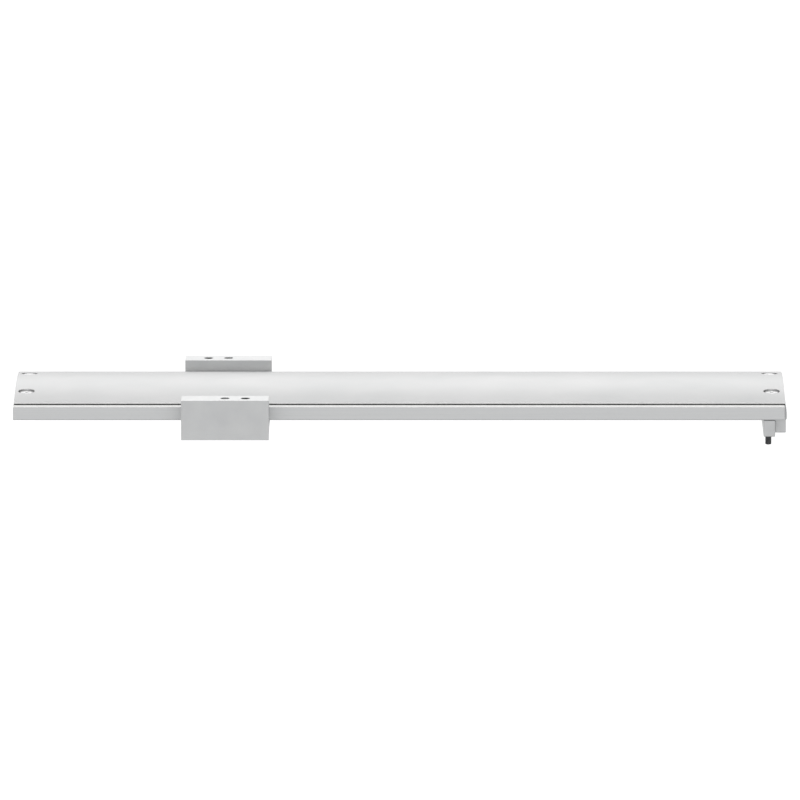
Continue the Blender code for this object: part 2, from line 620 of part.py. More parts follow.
# ---------------------------------------------------------------- blocks under the right end, stops
def make_crossbar():
    half = SIDE_Y - SEAT_GAP
    bar = box("drive_crossbar", (CROSSBAR_LEFT, -half, -CROSSBAR_DROP), (CROSSBAR_RIGHT, half, -SEAT_GAP))
    bevel(bar, CROSSBAR_EDGE, 2)
    bush_seat = SHAFT_RADIUS + RUNNING_GAP + BUSH_WALL + FIT_GAP
    combine(bar, hole(bush_seat, (SHAFT_X, 0, -CROSSBAR_DROP - OVERRUN), (SHAFT_X, 0, OVERRUN),
                      steps=ROUND_STEPS))
    for side, sy in SIDES:
        y = sy * BAR_SCREW_Y
        seat_z = -CROSSBAR_DROP + BAR_SCREW_HEAD_SINK
        combine(bar, hole(BAR_SCREW[1] + SCREW_GAP, (CROSSBAR_X, y, -CROSSBAR_DROP - OVERRUN),
                          (CROSSBAR_X, y, seat_z)))
        combine(bar, screw_hole(BAR_SCREW, (CROSSBAR_X, y, seat_z - OVERRUN), (CROSSBAR_X, y, OVERRUN)))
        length = BAR_SCREW_REACH - seat_z - TIP_GAP
        screw = cap_screw(f"crossbar_screw_{side}", BAR_SCREW, length, (CROSSBAR_X, y, seat_z - SEAT_GAP), UP)
        finish(screw, "dark_steel")
    finish(bar, "block")
    inner = SHAFT_RADIUS + RUNNING_GAP
    outer = inner + BUSH_WALL
    bottom, top = -CROSSBAR_DROP + SEAT_GAP, -SEAT_GAP
    bush = turned("shaft_bush", [(inner, top), (outer, top), (outer, bottom), (inner, bottom)],
                  (SHAFT_X, 0.0, 0.0), ring=True)
    finish(bush, "bronze")


def make_end_block():
    half = SIDE_Y - END_BLOCK_SETBACK
    left, right = CROSSBAR_RIGHT + SEAT_GAP, RAIL_HALF + END_BLOCK_PAST
    block = box("end_block", (left, -half, -END_BLOCK_DROP), (right, half, -SEAT_GAP))
    bevel(block, END_BLOCK_EDGE, 2)
    for side, sy in SIDES:
        y = sy * END_BLOCK_SCREW_SPREAD / 2
        seat_z = -END_BLOCK_DROP + END_BLOCK_SCREW[2] + SEAT_GAP
        combine(block, hole(END_BLOCK_SCREW[1] + SCREW_GAP, (END_BLOCK_SCREW_X, y, -END_BLOCK_DROP - OVERRUN),
                            (END_BLOCK_SCREW_X, y, seat_z)))
        combine(block, screw_hole(END_BLOCK_SCREW, (END_BLOCK_SCREW_X, y, seat_z - OVERRUN),
                                  (END_BLOCK_SCREW_X, y, OVERRUN)))
        length = RAIL_FLOOR - seat_z
        seat = (END_BLOCK_SCREW_X, y, seat_z - SEAT_GAP)
        finish(cap_screw(f"end_block_screw_{side}", END_BLOCK_SCREW, length, seat, UP), "dark_steel")
    finish(block, "block")


def make_bumper(name, face_x, y, sx):
    """A rubber button standing on a face, pointing along sx."""
    profile = [
        (0.0, BUMPER_THICKNESS), (BUMPER_RADIUS - BUMPER_EDGE, BUMPER_THICKNESS),
        (BUMPER_RADIUS, BUMPER_THICKNESS - BUMPER_EDGE), (BUMPER_RADIUS, 0.0), (0.0, 0.0),
    ]
    turn = TO_LEFT if sx > 0 else TO_RIGHT
    bumper = turned(name, profile, (face_x + sx * SEAT_GAP, y, -BUMPER_HEIGHT), turn, steps=SMALL_STEPS)
    finish(bumper, "rubber")


def make_stops():
    half = STOP_WIDTH / 2
    stop = box("left_stop_block", (STOP_X - STOP_THICKNESS / 2, -half, -STOP_DROP),
               (STOP_X + STOP_THICKNESS / 2, half, -SEAT_GAP))
    bevel(stop, END_BLOCK_EDGE, 2)
    finish(stop, "block")
    for side, sy in SIDES:
        y = sy * BUMPER_SPREAD / 2
        make_bumper(f"left_bumper_{side}", STOP_X + STOP_THICKNESS / 2, y, 1.0)
        make_bumper(f"right_bumper_{side}", CROSSBAR_LEFT, y, -1.0)


# ---------------------------------------------------------------- guides
def guide_outline(sy):
    """The guide rail's section: a bar with a V groove in each flank."""
    half, mid = GUIDE_WIDTH / 2, -SEAT_GAP - GUIDE_HEIGHT / 2
    right = [(half, -SEAT_GAP), (half, mid + GUIDE_GROOVE), (half - GUIDE_GROOVE, mid),
             (half, mid - GUIDE_GROOVE), (half, GUIDE_BOTTOM)]
    left = [(-y, z) for y, z in reversed(right)]
    return [(sy * GUIDE_Y + y, z) for y, z in right + left]


def block_outline(sy):
    """The bearing block's section: a channel round the guide rail, with a ridge for each groove."""
    half, channel = BLOCK_WIDTH / 2, GUIDE_WIDTH / 2 + SEAT_GAP
    mid, ridge = -SEAT_GAP - GUIDE_HEIGHT / 2, GUIDE_GROOVE - SEAT_GAP / 2
    floor = GUIDE_BOTTOM - SEAT_GAP
    right = [(channel, floor), (channel, mid - ridge), (channel - ridge, mid), (channel, mid + ridge),
             (channel, BLOCK_TOP), (half, BLOCK_TOP), (half, BLOCK_BOTTOM)]
    left = [(-y, z) for y, z in reversed(right)]
    return [(sy * GUIDE_Y + y, z) for y, z in right + left]


def make_guides():
    for side, sy in SIDES:
        guide = prism(f"guide_rail_{side}", guide_outline(sy), -GUIDE_HALF, GUIDE_HALF)
        for end, sx in ENDS:
            x, y = sx * GUIDE_SCREW_PITCH / 2, sy * GUIDE_Y
            seat_z = GUIDE_BOTTOM + GUIDE_SCREW[2] + SEAT_GAP
            combine(guide, hole(GUIDE_SCREW[1] + SCREW_GAP, (x, y, GUIDE_BOTTOM - OVERRUN), (x, y, seat_z)))
            combine(guide, screw_hole(GUIDE_SCREW, (x, y, seat_z - OVERRUN), (x, y, OVERRUN)))
            length = RAIL_FLOOR - seat_z
            screw = cap_screw(f"guide_screw_{side}_{end}", GUIDE_SCREW, length, (x, y, seat_z - SEAT_GAP), UP)
            finish(screw, "dark_steel")
        finish(guide, "guide_steel")


# ---------------------------------------------------------------- drive
def tooth_gap(index, bottom, top):
    """A round-bottomed cutter for one gap between the pulley's teeth."""
    angle = 2 * math.pi * index / PULLEY_TEETH
    reach = TOOTH_RADIUS - TOOTH_DEPTH + TOOTH_GAP_RADIUS
    centre = (reach * math.cos(angle), reach * math.sin(angle), (bottom + top) / 2)
    return cylinder("gap", TOOTH_GAP_RADIUS, top - bottom, centre, "Z", TOOTH_GAP_STEPS)


def pulley_profile(bore):
    low, high = PULLEY_BOTTOM, PULLEY_TOP
    return [
        (bore, high), (FLANGE_RADIUS, high), (FLANGE_RADIUS, high - FLANGE_THICKNESS),
        (TOOTH_RADIUS, high - FLANGE_THICKNESS), (TOOTH_RADIUS, low + FLANGE_THICKNESS),
        (FLANGE_RADIUS, low + FLANGE_THICKNESS), (FLANGE_RADIUS, low), (bore, low),
    ]


def make_drive():
    axis = joint_empty("drive_axis", (SHAFT_X, 0.0, 0.0))
    top = PULLEY_TOP + SHAFT_STAND
    profile = [
        (0.0, top), (SHAFT_RADIUS, top), (SHAFT_RADIUS, -SHAFT_DROP + SHAFT_TIP_EDGE),
        (SHAFT_RADIUS - SHAFT_TIP_EDGE, -SHAFT_DROP), (0.0, -SHAFT_DROP),
    ]
    shaft = turned("drive_shaft", profile, (SHAFT_X, 0.0, 0.0))
    flat_y = SHAFT_RADIUS - SHAFT_FLAT_DEPTH
    combine(shaft, box("flat", (SHAFT_X - SHAFT_RADIUS * 2, flat_y, -SHAFT_DROP - OVERRUN),
                       (SHAFT_X + SHAFT_RADIUS * 2, SHAFT_RADIUS * 2, -CROSSBAR_DROP - SHAFT_FLAT_DROP)))
    finish(shaft, "dark_steel", axis)
    pulley = turned("drive_pulley", pulley_profile(SHAFT_RADIUS + FIT_GAP), (SHAFT_X, 0.0, 0.0), ring=True)
    low, high = PULLEY_BOTTOM + FLANGE_THICKNESS, PULLEY_TOP - FLANGE_THICKNESS
    for index in range(PULLEY_TEETH):
        gap = tooth_gap(index, low, high)
        gap.location.x += SHAFT_X
        combine(pulley, gap)
    finish(pulley, "milled", axis)
    inner, outer = SHAFT_RADIUS + RUNNING_GAP, BEARING_RADIUS
    shield = BEARING_TOP - BEARING_SHIELD_SINK
    race, step = BEARING_RACE, BEARING_STEP
    ring = [
        (inner, BEARING_TOP), (inner + race, BEARING_TOP), (inner + race + step, shield),
        (outer - race - step, shield), (outer - race, BEARING_TOP), (outer, BEARING_TOP),
        (outer, BEARING_BOTTOM), (inner, BEARING_BOTTOM),
    ]
    finish(turned("shaft_bearing", ring, (SHAFT_X, 0.0, 0.0), ring=True), "guide_steel")


def make_idler():
    axis = joint_empty("idler_axis", (IDLER_X, 0.0, 0.0))
    pulley = turned("idler_pulley", pulley_profile(IDLER_AXLE_RADIUS + RUNNING_GAP), (IDLER_X, 0.0, 0.0),
                    ring=True)
    finish(pulley, "milled", axis)
    carrier_bottom = RAIL_FLOOR + SEAT_GAP
    carrier_top = carrier_bottom + CARRIER_THICKNESS
    left = -BOSS_END_X + CARRIER_SETBACK
    right = IDLER_X + FLANGE_RADIUS
    half = FLANGE_RADIUS + CARRIER_SIDE
    carrier = box("idler_carrier", (left, -half, carrier_bottom), (right, half, carrier_top))
    upstand = box("upstand", (left, -UPSTAND_WIDTH / 2, carrier_bottom + CARRIER_THICKNESS / 2),
                  (left + UPSTAND_THICKNESS, UPSTAND_WIDTH / 2, PULLEY_TOP))
    combine(carrier, upstand, "UNION")
    combine(carrier, hole(IDLER_AXLE_RADIUS + FIT_GAP, (IDLER_X, 0, carrier_bottom - OVERRUN),
                          (IDLER_X, 0, carrier_top + OVERRUN)))
    combine(carrier, screw_hole(TENSION_SCREW, (left - OVERRUN, 0, TENSION_SCREW_HEIGHT),
                                (left + UPSTAND_THICKNESS + OVERRUN, 0, TENSION_SCREW_HEIGHT), "X"))
    finish(carrier, "block")
    head, seat = IDLER_AXLE_RADIUS + AXLE_HEAD_LIP, PULLEY_TOP + SEAT_GAP
    profile = [
        (0.0, seat + AXLE_HEAD_HEIGHT), (head, seat + AXLE_HEAD_HEIGHT), (head, seat),
        (IDLER_AXLE_RADIUS, seat), (IDLER_AXLE_RADIUS, carrier_bottom), (0.0, carrier_bottom),
    ]
    finish(turned("idler_axle", profile, (IDLER_X, 0.0, 0.0)), "dark_steel")
    face = (-END_PLATE_X - END_PLATE / 2, 0.0, TENSION_SCREW_HEIGHT)
    length = left + UPSTAND_THICKNESS - face[0]
    finish(countersunk_screw("tension_screw", TENSION_SCREW, length, face, TO_RIGHT), "dark_steel")


def belt_loop(radius):
    """A stadium round both pulleys."""
    points = []
    for centre, start in ((SHAFT_X, -math.pi / 2), (IDLER_X, math.pi / 2)):
        for i in range(BELT_END_STEPS + 1):
            angle = start + math.pi * i / BELT_END_STEPS
            points.append((centre + radius * math.cos(angle), radius * math.sin(angle)))
    return points


def make_belt():
    belt = prism("drive_belt", belt_loop(BELT_OUTER), BELT_BOTTOM, BELT_TOP, "Z")
    combine(belt, prism("inside", belt_loop(BELT_INNER), BELT_BOTTOM - OVERRUN, BELT_TOP + OVERRUN, "Z"))
    finish(belt, "rubber")


# ---------------------------------------------------------------- saddle carriage
def make_saddle():
    saddle = joint_empty("saddle_axis", (SADDLE_X, 0.0, 0.0))
    left, right = SADDLE_X - SADDLE_LENGTH / 2, SADDLE_X + SADDLE_LENGTH / 2
    seat_y = SADDLE_INNER_Y + SADDLE_SEAT
    centre_seat = SADDLE_TOP - COUNTERBORE_DEPTH
    plate_screw_y = (SADDLE_INNER_Y + seat_y) / 2 + PLATE_SCREW_OUT
    plate_screw_seat = -SADDLE_DROP + PLATE_SCREW[2] + SEAT_GAP
    plate = box("cross_plate", (left + SEAT_GAP, -seat_y + SEAT_GAP, -SADDLE_DROP),
                (right - SEAT_GAP, seat_y - SEAT_GAP, PLATE_TOP))
    for side, sy in SIDES:
        low_y, high_y = sorted((sy * SADDLE_INNER_Y, sy * SADDLE_OUTER_Y))
        wall = box(f"saddle_wall_{side}", (left, low_y, -SADDLE_DROP), (right, high_y, SADDLE_TOP))
        bevel(wall, SADDLE_EDGE, 1)
        rebate_low, rebate_high = sorted((sy * (SADDLE_INNER_Y - OVERRUN), sy * seat_y))
        combine(wall, box("rebate", (left - OVERRUN, rebate_low, -SADDLE_DROP - OVERRUN),
                          (right + OVERRUN, rebate_high, PLATE_TOP + SEAT_GAP)))
        y = sy * SADDLE_WALL_Y
        open_x = SADDLE_X - sy * CAMERA_HOLE_OFFSET
        combine(wall, hole(CAMERA_HOLE_RADIUS, (open_x, y, SADDLE_TOP - CAMERA_HOLE_DEPTH),
                           (open_x, y, SADDLE_TOP + OVERRUN), steps=ROUND_STEPS))
        combine(wall, hole(CAMERA_HOLE_RADIUS, (SADDLE_X, y, centre_seat),
                           (SADDLE_X, y, SADDLE_TOP + OVERRUN), steps=ROUND_STEPS))
        combine(wall, screw_hole(SADDLE_SCREW, (SADDLE_X, y, PLATE_TOP - OVERRUN),
                                 (SADDLE_X, y, centre_seat + OVERRUN)))
        combine(plate, screw_hole(SADDLE_SCREW, (SADDLE_X, y, -SADDLE_DROP + SKIN),
                                  (SADDLE_X, y, PLATE_TOP + OVERRUN)))
        length = centre_seat + SADDLE_DROP - SKIN - TIP_GAP
        screw = cap_screw(f"saddle_screw_{side}", SADDLE_SCREW, length, (SADDLE_X, y, centre_seat + SEAT_GAP))
        finish(screw, "screw_steel", saddle)
        for end, sx in ENDS:
            x, y = SADDLE_X + sx * PLATE_SCREW_SPREAD / 2, sy * plate_screw_y
            combine(plate, hole(PLATE_SCREW[1] + SCREW_GAP, (x, y, -SADDLE_DROP - OVERRUN),
                                (x, y, plate_screw_seat)))
            combine(plate, screw_hole(PLATE_SCREW, (x, y, plate_screw_seat - OVERRUN),
                                      (x, y, PLATE_TOP + OVERRUN)))
            combine(wall, screw_hole(PLATE_SCREW, (x, y, PLATE_TOP - OVERRUN), (x, y, 0.0)))
            screw = cap_screw(f"plate_screw_{side}_{end}", PLATE_SCREW, -plate_screw_seat - TIP_GAP,
                              (x, y, plate_screw_seat - SEAT_GAP), UP)
            finish(screw, "dark_steel", saddle)
            x = SADDLE_X + sx * BLOCK_SPREAD / 2
            block = prism(f"bearing_block_{side}_{end}", block_outline(sy), x - BLOCK_LENGTH / 2,
                          x + BLOCK_LENGTH / 2)
            finish(block, "guide_steel", saddle)
        finish(wall, "milled", saddle)
    finish(plate, "milled", saddle)
    make_belt_clamp(saddle)


def make_belt_clamp(saddle):
    """A post through the slot with a jaw on each side of the belt's front run."""
    half = CLAMP_LENGTH / 2
    outside = BELT_RUN_Y - SLOT_WIDTH / 2 + SLIDE_GAP
    inside = BELT_RUN_Y + SLOT_WIDTH / 2 - SLIDE_GAP
    belt_near, belt_far = -BELT_OUTER - SEAT_GAP, -BELT_INNER + SEAT_GAP
    base_top = PLATE_TOP + SEAT_GAP + CLAMP_BASE_HEIGHT
    jaw_top = dome_height(outside, DOME_SHELL) - CLAMP_UNDER_COVER
    shoulder = BELT_BOTTOM - CLAMP_UNDER_BELT
    post = box("belt_clamp_post", (SADDLE_X - half, outside, base_top - OVERRUN),
               (SADDLE_X + half, belt_near, jaw_top))
    neck = box("neck", (SADDLE_X - half, outside, base_top - OVERRUN), (SADDLE_X + half, inside, shoulder))
    base_half = Vector((CLAMP_BASE_LENGTH / 2, CLAMP_BASE_WIDTH / 2, 0.0))
    base = box("base", Vector((SADDLE_X, BELT_RUN_Y, PLATE_TOP + SEAT_GAP)) - base_half,
               Vector((SADDLE_X, BELT_RUN_Y, base_top)) + base_half)
    combine(post, neck, "UNION")
    combine(post, base, "UNION")
    jaw = box("belt_clamp_jaw", (SADDLE_X - half, belt_far, shoulder + SEAT_GAP),
              (SADDLE_X + half, inside, jaw_top))
    screw_z = (BELT_TOP + jaw_top) / 2
    for end, sx in ENDS:
        x = SADDLE_X + sx * half / 2
        combine(post, screw_hole(CLAMP_SCREW, (x, outside + SKIN, screw_z), (x, belt_far, screw_z), "Y"))
        combine(jaw, screw_hole(CLAMP_SCREW, (x, belt_near, screw_z), (x, inside + OVERRUN, screw_z), "Y"))
        length = inside - outside - SKIN - SEAT_GAP
        seat = (x, inside + SEAT_GAP, screw_z)
        screw = cap_screw(f"clamp_screw_{end}", CLAMP_SCREW, length, seat, TO_FRONT)
        finish(screw, "dark_steel", saddle)
    finish(post, "block", saddle)
    finish(jaw, "block", saddle)


clear_scene()
parts = new_collection("camera_slider")
cutters = new_collection("camera_slider_cutters")
materials = {name: make_material(name, *values) for name, values in FINISHES.items()}
make_base_rail()
make_dome_cover()
make_end_plates()
make_end_cap()
make_crossbar()
make_end_block()
make_stops()
make_guides()
make_drive()
make_idler()
make_belt()
make_saddle()
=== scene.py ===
import json
import math

import bmesh
import bpy
from mathutils import Matrix, Vector


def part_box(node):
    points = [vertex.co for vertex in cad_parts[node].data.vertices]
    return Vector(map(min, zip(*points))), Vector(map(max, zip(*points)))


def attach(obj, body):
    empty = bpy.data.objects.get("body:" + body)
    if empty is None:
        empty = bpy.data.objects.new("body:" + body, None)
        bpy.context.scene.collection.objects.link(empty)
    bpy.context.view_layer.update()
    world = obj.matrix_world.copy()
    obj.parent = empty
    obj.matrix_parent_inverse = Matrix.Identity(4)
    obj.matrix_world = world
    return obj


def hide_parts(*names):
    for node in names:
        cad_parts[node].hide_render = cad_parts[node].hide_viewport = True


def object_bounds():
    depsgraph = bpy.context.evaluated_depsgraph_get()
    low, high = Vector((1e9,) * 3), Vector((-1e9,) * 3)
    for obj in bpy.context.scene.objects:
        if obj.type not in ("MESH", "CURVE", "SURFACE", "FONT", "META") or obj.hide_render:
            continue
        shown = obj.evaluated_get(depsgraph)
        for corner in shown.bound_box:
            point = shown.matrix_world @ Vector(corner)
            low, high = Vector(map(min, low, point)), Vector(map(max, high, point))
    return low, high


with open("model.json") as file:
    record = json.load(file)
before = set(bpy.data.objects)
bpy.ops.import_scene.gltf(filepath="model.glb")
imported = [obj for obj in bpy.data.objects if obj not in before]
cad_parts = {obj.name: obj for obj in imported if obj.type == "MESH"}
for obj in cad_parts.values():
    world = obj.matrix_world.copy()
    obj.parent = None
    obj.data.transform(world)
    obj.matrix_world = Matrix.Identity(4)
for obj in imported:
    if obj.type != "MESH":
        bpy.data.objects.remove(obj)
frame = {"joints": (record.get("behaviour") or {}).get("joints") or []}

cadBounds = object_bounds()
scene = bpy.context.scene
mm = 0.001
sides = {"front": -1, "rear": 1}
ends = {"left": -1, "right": 1}


# colours and nodes

def hexToLinear(code):
    channels = [int(code[i:i + 2], 16) / 255 for i in (1, 3, 5)]
    linear = [c / 12.92 if c <= 0.04045 else ((c + 0.055) / 1.055) ** 2.4 for c in channels]
    return (*linear, 1.0)


def addNode(tree, kind, settings=None, links=None):
    node = tree.nodes.new(kind)
    for name, value in (settings or {}).items():
        if isinstance(name, str) and hasattr(node, name):
            setattr(node, name, value)
        else:
            node.inputs[name].default_value = value
    for name, (source, output) in (links or {}).items():
        tree.links.new(source.outputs[output], node.inputs[name])
    return node


def startMaterial(name, colour, metallic, roughness, extra=None):
    material = bpy.data.materials.new(name)
    material.use_nodes = True
    tree = material.node_tree
    shader = tree.nodes["Principled BSDF"]
    settings = {"Base Color": hexToLinear(colour), "Metallic": metallic, "Roughness": roughness, **(extra or {})}
    for socket, value in settings.items():
        shader.inputs[socket].default_value = value
    place = addNode(tree, "ShaderNodeTexCoord")
    return material, tree, shader, place


def addRelief(tree, shader, height, output, depth):
    bump = addNode(tree, "ShaderNodeBump", {"Strength": 1.0, "Distance": depth}, {"Height": (height, output)})
    tree.links.new(bump.outputs["Normal"], shader.inputs["Normal"])


def varyRoughness(tree, shader, source, output, low, high):
    spread = addNode(tree, "ShaderNodeMapRange", {"To Min": low, "To Max": high}, {"Value": (source, output)})
    tree.links.new(spread.outputs["Result"], shader.inputs["Roughness"])


def varyColour(tree, shader, source, output, dark, light):
    ramp = addNode(tree, "ShaderNodeValToRGB", None, {"Fac": (source, output)})
    ramp.color_ramp.elements[0].position = 0.3
    ramp.color_ramp.elements[1].position = 0.7
    ramp.color_ramp.elements[0].color = hexToLinear(dark)
    ramp.color_ramp.elements[1].color = hexToLinear(light)
    tree.links.new(ramp.outputs["Color"], shader.inputs["Base Color"])


# materials

def extrudedAluminium():
    # clear anodised 6063 extrusion: satin silver with faint die lines along the rail
    look = {"dark": "#CDCECF", "light": "#D3D4D4", "lineMm": 0.45, "runMm": 160, "depthMm": 0.0016}
    material, tree, shader, place = startMaterial("clearAnodisedExtrusion", look["light"], 1.0, 0.5)
    stretch = addNode(tree, "ShaderNodeMapping", {
        "Scale": (1000 / look["runMm"], 1000 / look["lineMm"], 1000 / look["lineMm"])},
        {"Vector": (place, "Object")})
    lines = addNode(tree, "ShaderNodeTexNoise", {"Scale": 1.0, "Detail": 3.0}, {"Vector": (stretch, "Vector")})
    varyColour(tree, shader, lines, "Fac", look["dark"], look["light"])
    varyRoughness(tree, shader, lines, "Fac", 0.46, 0.55)
    addRelief(tree, shader, lines, "Fac", look["depthMm"] * mm)
    return material


def blastedAluminium():
    # bead-blasted and anodised: an even, fine grain that spreads every highlight
    look = {"dark": "#D3D4D4", "light": "#DADADA", "grainMm": 0.35, "cloudMm": 60, "depthMm": 0.004}
    material, tree, shader, place = startMaterial("beadBlastedAnodised", look["light"], 1.0, 0.34)
    clouds = addNode(tree, "ShaderNodeTexNoise", {"Scale": 1000 / look["cloudMm"], "Detail": 2.0},
                     {"Vector": (place, "Object")})
    grain = addNode(tree, "ShaderNodeTexNoise", {"Scale": 1000 / look["grainMm"], "Detail": 2.0},
                    {"Vector": (place, "Object")})
    varyColour(tree, shader, clouds, "Fac", look["dark"], look["light"])
    varyRoughness(tree, shader, grain, "Fac", 0.3, 0.4)
    addRelief(tree, shader, grain, "Fac", look["depthMm"] * mm)
    return material


def milledAluminium(name, dark, light, stepMm, roughness):
    # milled and clear anodised: shallow cutter rows that catch the light a little unevenly
    look = {"cloudMm": 25, "depthMm": 0.0025}
    material, tree, shader, place = startMaterial(name, light, 1.0, roughness)
    rows = addNode(tree, "ShaderNodeTexWave", {
        "wave_type": "BANDS", "bands_direction": "Y", "Scale": 1000 / stepMm / 6.28, "Distortion": 1.5,
        "Detail": 2.0},
        {"Vector": (place, "Object")})
    clouds = addNode(tree, "ShaderNodeTexNoise", {"Scale": 1000 / look["cloudMm"], "Detail": 3.0},
                     {"Vector": (place, "Object")})
    varyColour(tree, shader, clouds, "Fac", dark, light)
    varyRoughness(tree, shader, rows, "Fac", roughness - 0.04, roughness + 0.04)
    addRelief(tree, shader, rows, "Fac", look["depthMm"] * mm)
    return material


def groundSteel():
    # hardened guide steel: fine grinding lines along its length, brighter and tighter than the aluminium
    look = {"lineMm": 0.3, "runMm": 40, "depthMm": 0.0012}
    material, tree, shader, place = startMaterial("groundGuideSteel", "#B4B6B8", 1.0, 0.25)
    stretch = addNode(tree, "ShaderNodeMapping", {
        "Scale": (1000 / look["runMm"], 1000 / look["lineMm"], 1000 / look["lineMm"])},
        {"Vector": (place, "Object")})
    lines = addNode(tree, "ShaderNodeTexNoise", {"Scale": 1.0, "Detail": 2.0}, {"Vector": (stretch, "Vector")})
    varyColour(tree, shader, lines, "Fac", "#ABADAF", "#B9BBBD")
    varyRoughness(tree, shader, lines, "Fac", 0.2, 0.34)
    addRelief(tree, shader, lines, "Fac", look["depthMm"] * mm)
    return material


def turnedSteel(name, dark, light, roughness, stepMm=0.25):
    # turned steel: rings from the lathe round the piece's own axis
    look = {"depthMm": 0.0015}
    material, tree, shader, place = startMaterial(name, light, 1.0, roughness)
    rings = addNode(tree, "ShaderNodeTexWave", {
        "wave_type": "RINGS", "rings_direction": "Z", "Scale": 1000 / stepMm / 6.28, "Distortion": 0.6,
        "Detail": 1.0},
        {"Vector": (place, "Object")})
    stains = addNode(tree, "ShaderNodeTexNoise", {"Scale": 400.0, "Detail": 3.0}, {"Vector": (place, "Object")})
    varyColour(tree, shader, stains, "Fac", dark, light)
    varyRoughness(tree, shader, rings, "Fac", roughness - 0.05, roughness + 0.06)
    addRelief(tree, shader, rings, "Fac", look["depthMm"] * mm)
    return material


def sinteredBronze():
    # oil-filled sintered bronze: brown gold with open pores
    material, tree, shader, place = startMaterial("sinteredBronze", "#B08A4E", 1.0, 0.42)
    pores = addNode(tree, "ShaderNodeTexVoronoi", {"Scale": 1000 / 0.4}, {"Vector": (place, "Object")})
    varyColour(tree, shader, pores, "Distance", "#8F6C3A", "#B8935A")
    varyRoughness(tree, shader, pores, "Distance", 0.5, 0.36)
    addRelief(tree, shader, pores, "Distance", 0.004 * mm)
    return material


def beltRubber():
    # polyurethane belt: dark, slightly shiny, with a faint grain
    material, tree, shader, place = startMaterial("beltPolyurethane", "#232425", 0.0, 0.5, {"IOR": 1.5})
    grain = addNode(tree, "ShaderNodeTexNoise", {"Scale": 1000 / 0.5, "Detail": 3.0},
                    {"Vector": (place, "Object")})
    varyColour(tree, shader, grain, "Fac", "#1D1E1F", "#2A2B2C")
    varyRoughness(tree, shader, grain, "Fac", 0.42, 0.6)
    addRelief(tree, shader, grain, "Fac", 0.006 * mm)
    return material


def nitrileRubber():
    # moulded nitrile: matt black with a soft bloom
    material, tree, shader, place = startMaterial("mouldedNitrile", "#202020", 0.0, 0.8, {"IOR": 1.52})
    bloom = addNode(tree, "ShaderNodeTexNoise", {"Scale": 1000 / 2.5, "Detail": 4.0},
                    {"Vector": (place, "Object")})
    varyColour(tree, shader, bloom, "Fac", "#191919", "#2B2B2B")
    varyRoughness(tree, shader, bloom, "Fac", 0.7, 0.88)
    addRelief(tree, shader, bloom, "Fac", 0.01 * mm)
    return material


def mouldedAcetal():
    # glass-smooth black acetal end caps of the bearing blocks
    material, tree, shader, place = startMaterial("mouldedAcetal", "#2C2D2F", 0.0, 0.38, {"IOR": 1.48})
    flow = addNode(tree, "ShaderNodeTexNoise", {"Scale": 1000 / 4, "Detail": 2.0}, {"Vector": (place, "Object")})
    varyColour(tree, shader, flow, "Fac", "#27282A", "#333436")
    varyRoughness(tree, shader, flow, "Fac", 0.32, 0.44)
    addRelief(tree, shader, flow, "Fac", 0.004 * mm)
    return material


def highlightStripMaterial():
    # near-white strip material, a painted highlight: pale and waxy, so it shows as a bright line beside the metal
    material, tree, shader, place = startMaterial("whiteStripPaintedHighlight", "#FBFBFA", 0.0, 0.45, {"IOR": 1.48})
    flow = addNode(tree, "ShaderNodeTexNoise", {"Scale": 1000 / 6, "Detail": 2.0}, {"Vector": (place, "Object")})
    varyColour(tree, shader, flow, "Fac", "#F9F9F7", "#FEFEFD")
    varyRoughness(tree, shader, flow, "Fac", 0.4, 0.52)
    addRelief(tree, shader, flow, "Fac", 0.003 * mm)
    return material


looks = {
    "extrusion": extrudedAluminium(),
    "cover": blastedAluminium(),
    # the rail land is a paler copy of the metal: a painted highlight on the rail's top faces
    "land": milledAluminium("railTopPaintedHighlight", "#E2E2E2", "#EAEAEA", 1.0, 0.6),
    "strip": highlightStripMaterial(),
    "saddle": milledAluminium("milledSaddleAluminium", "#C9CACB", "#CFD0D0", 1.6, 0.5),
    # the saddle top is a paler copy of the saddle metal: a painted highlight on its top faces
    "saddleTop": milledAluminium("saddleTopPaintedHighlight", "#E2E3E3", "#E8E8E8", 2.4, 0.4),
    "block": milledAluminium("milledBlockAluminium", "#C3C4C5", "#CBCCCC", 1.2, 0.48),
    "pulley": turnedSteel("hardAnodisedPulley", "#B9BABB", "#C6C7C8", 0.36, 0.3),
    "guide": groundSteel(),
    "stainless": turnedSteel("stainlessScrew", "#C9CACA", "#D6D6D6", 0.34),
    # a darker copy of the stainless: painted shade on the screws down in the saddle counterbores
    "shadedScrew": turnedSteel("stainlessScrewPaintedShade", "#858686", "#929393", 0.36),
    # a paler copy of the stainless: a painted highlight on the cover screw heads
    "highlightedScrew": turnedSteel("stainlessScrewPaintedHighlight", "#EDEDED", "#F6F6F6", 0.4),
    "blackSteel": turnedSteel("blackOxideSteel", "#3B3C3D", "#505152", 0.34),
    "bronze": sinteredBronze(),
    "belt": beltRubber(),
    "rubber": nitrileRubber(),
    "acetal": mouldedAcetal(),
}
print("materials made:", len(looks))


# mesh work

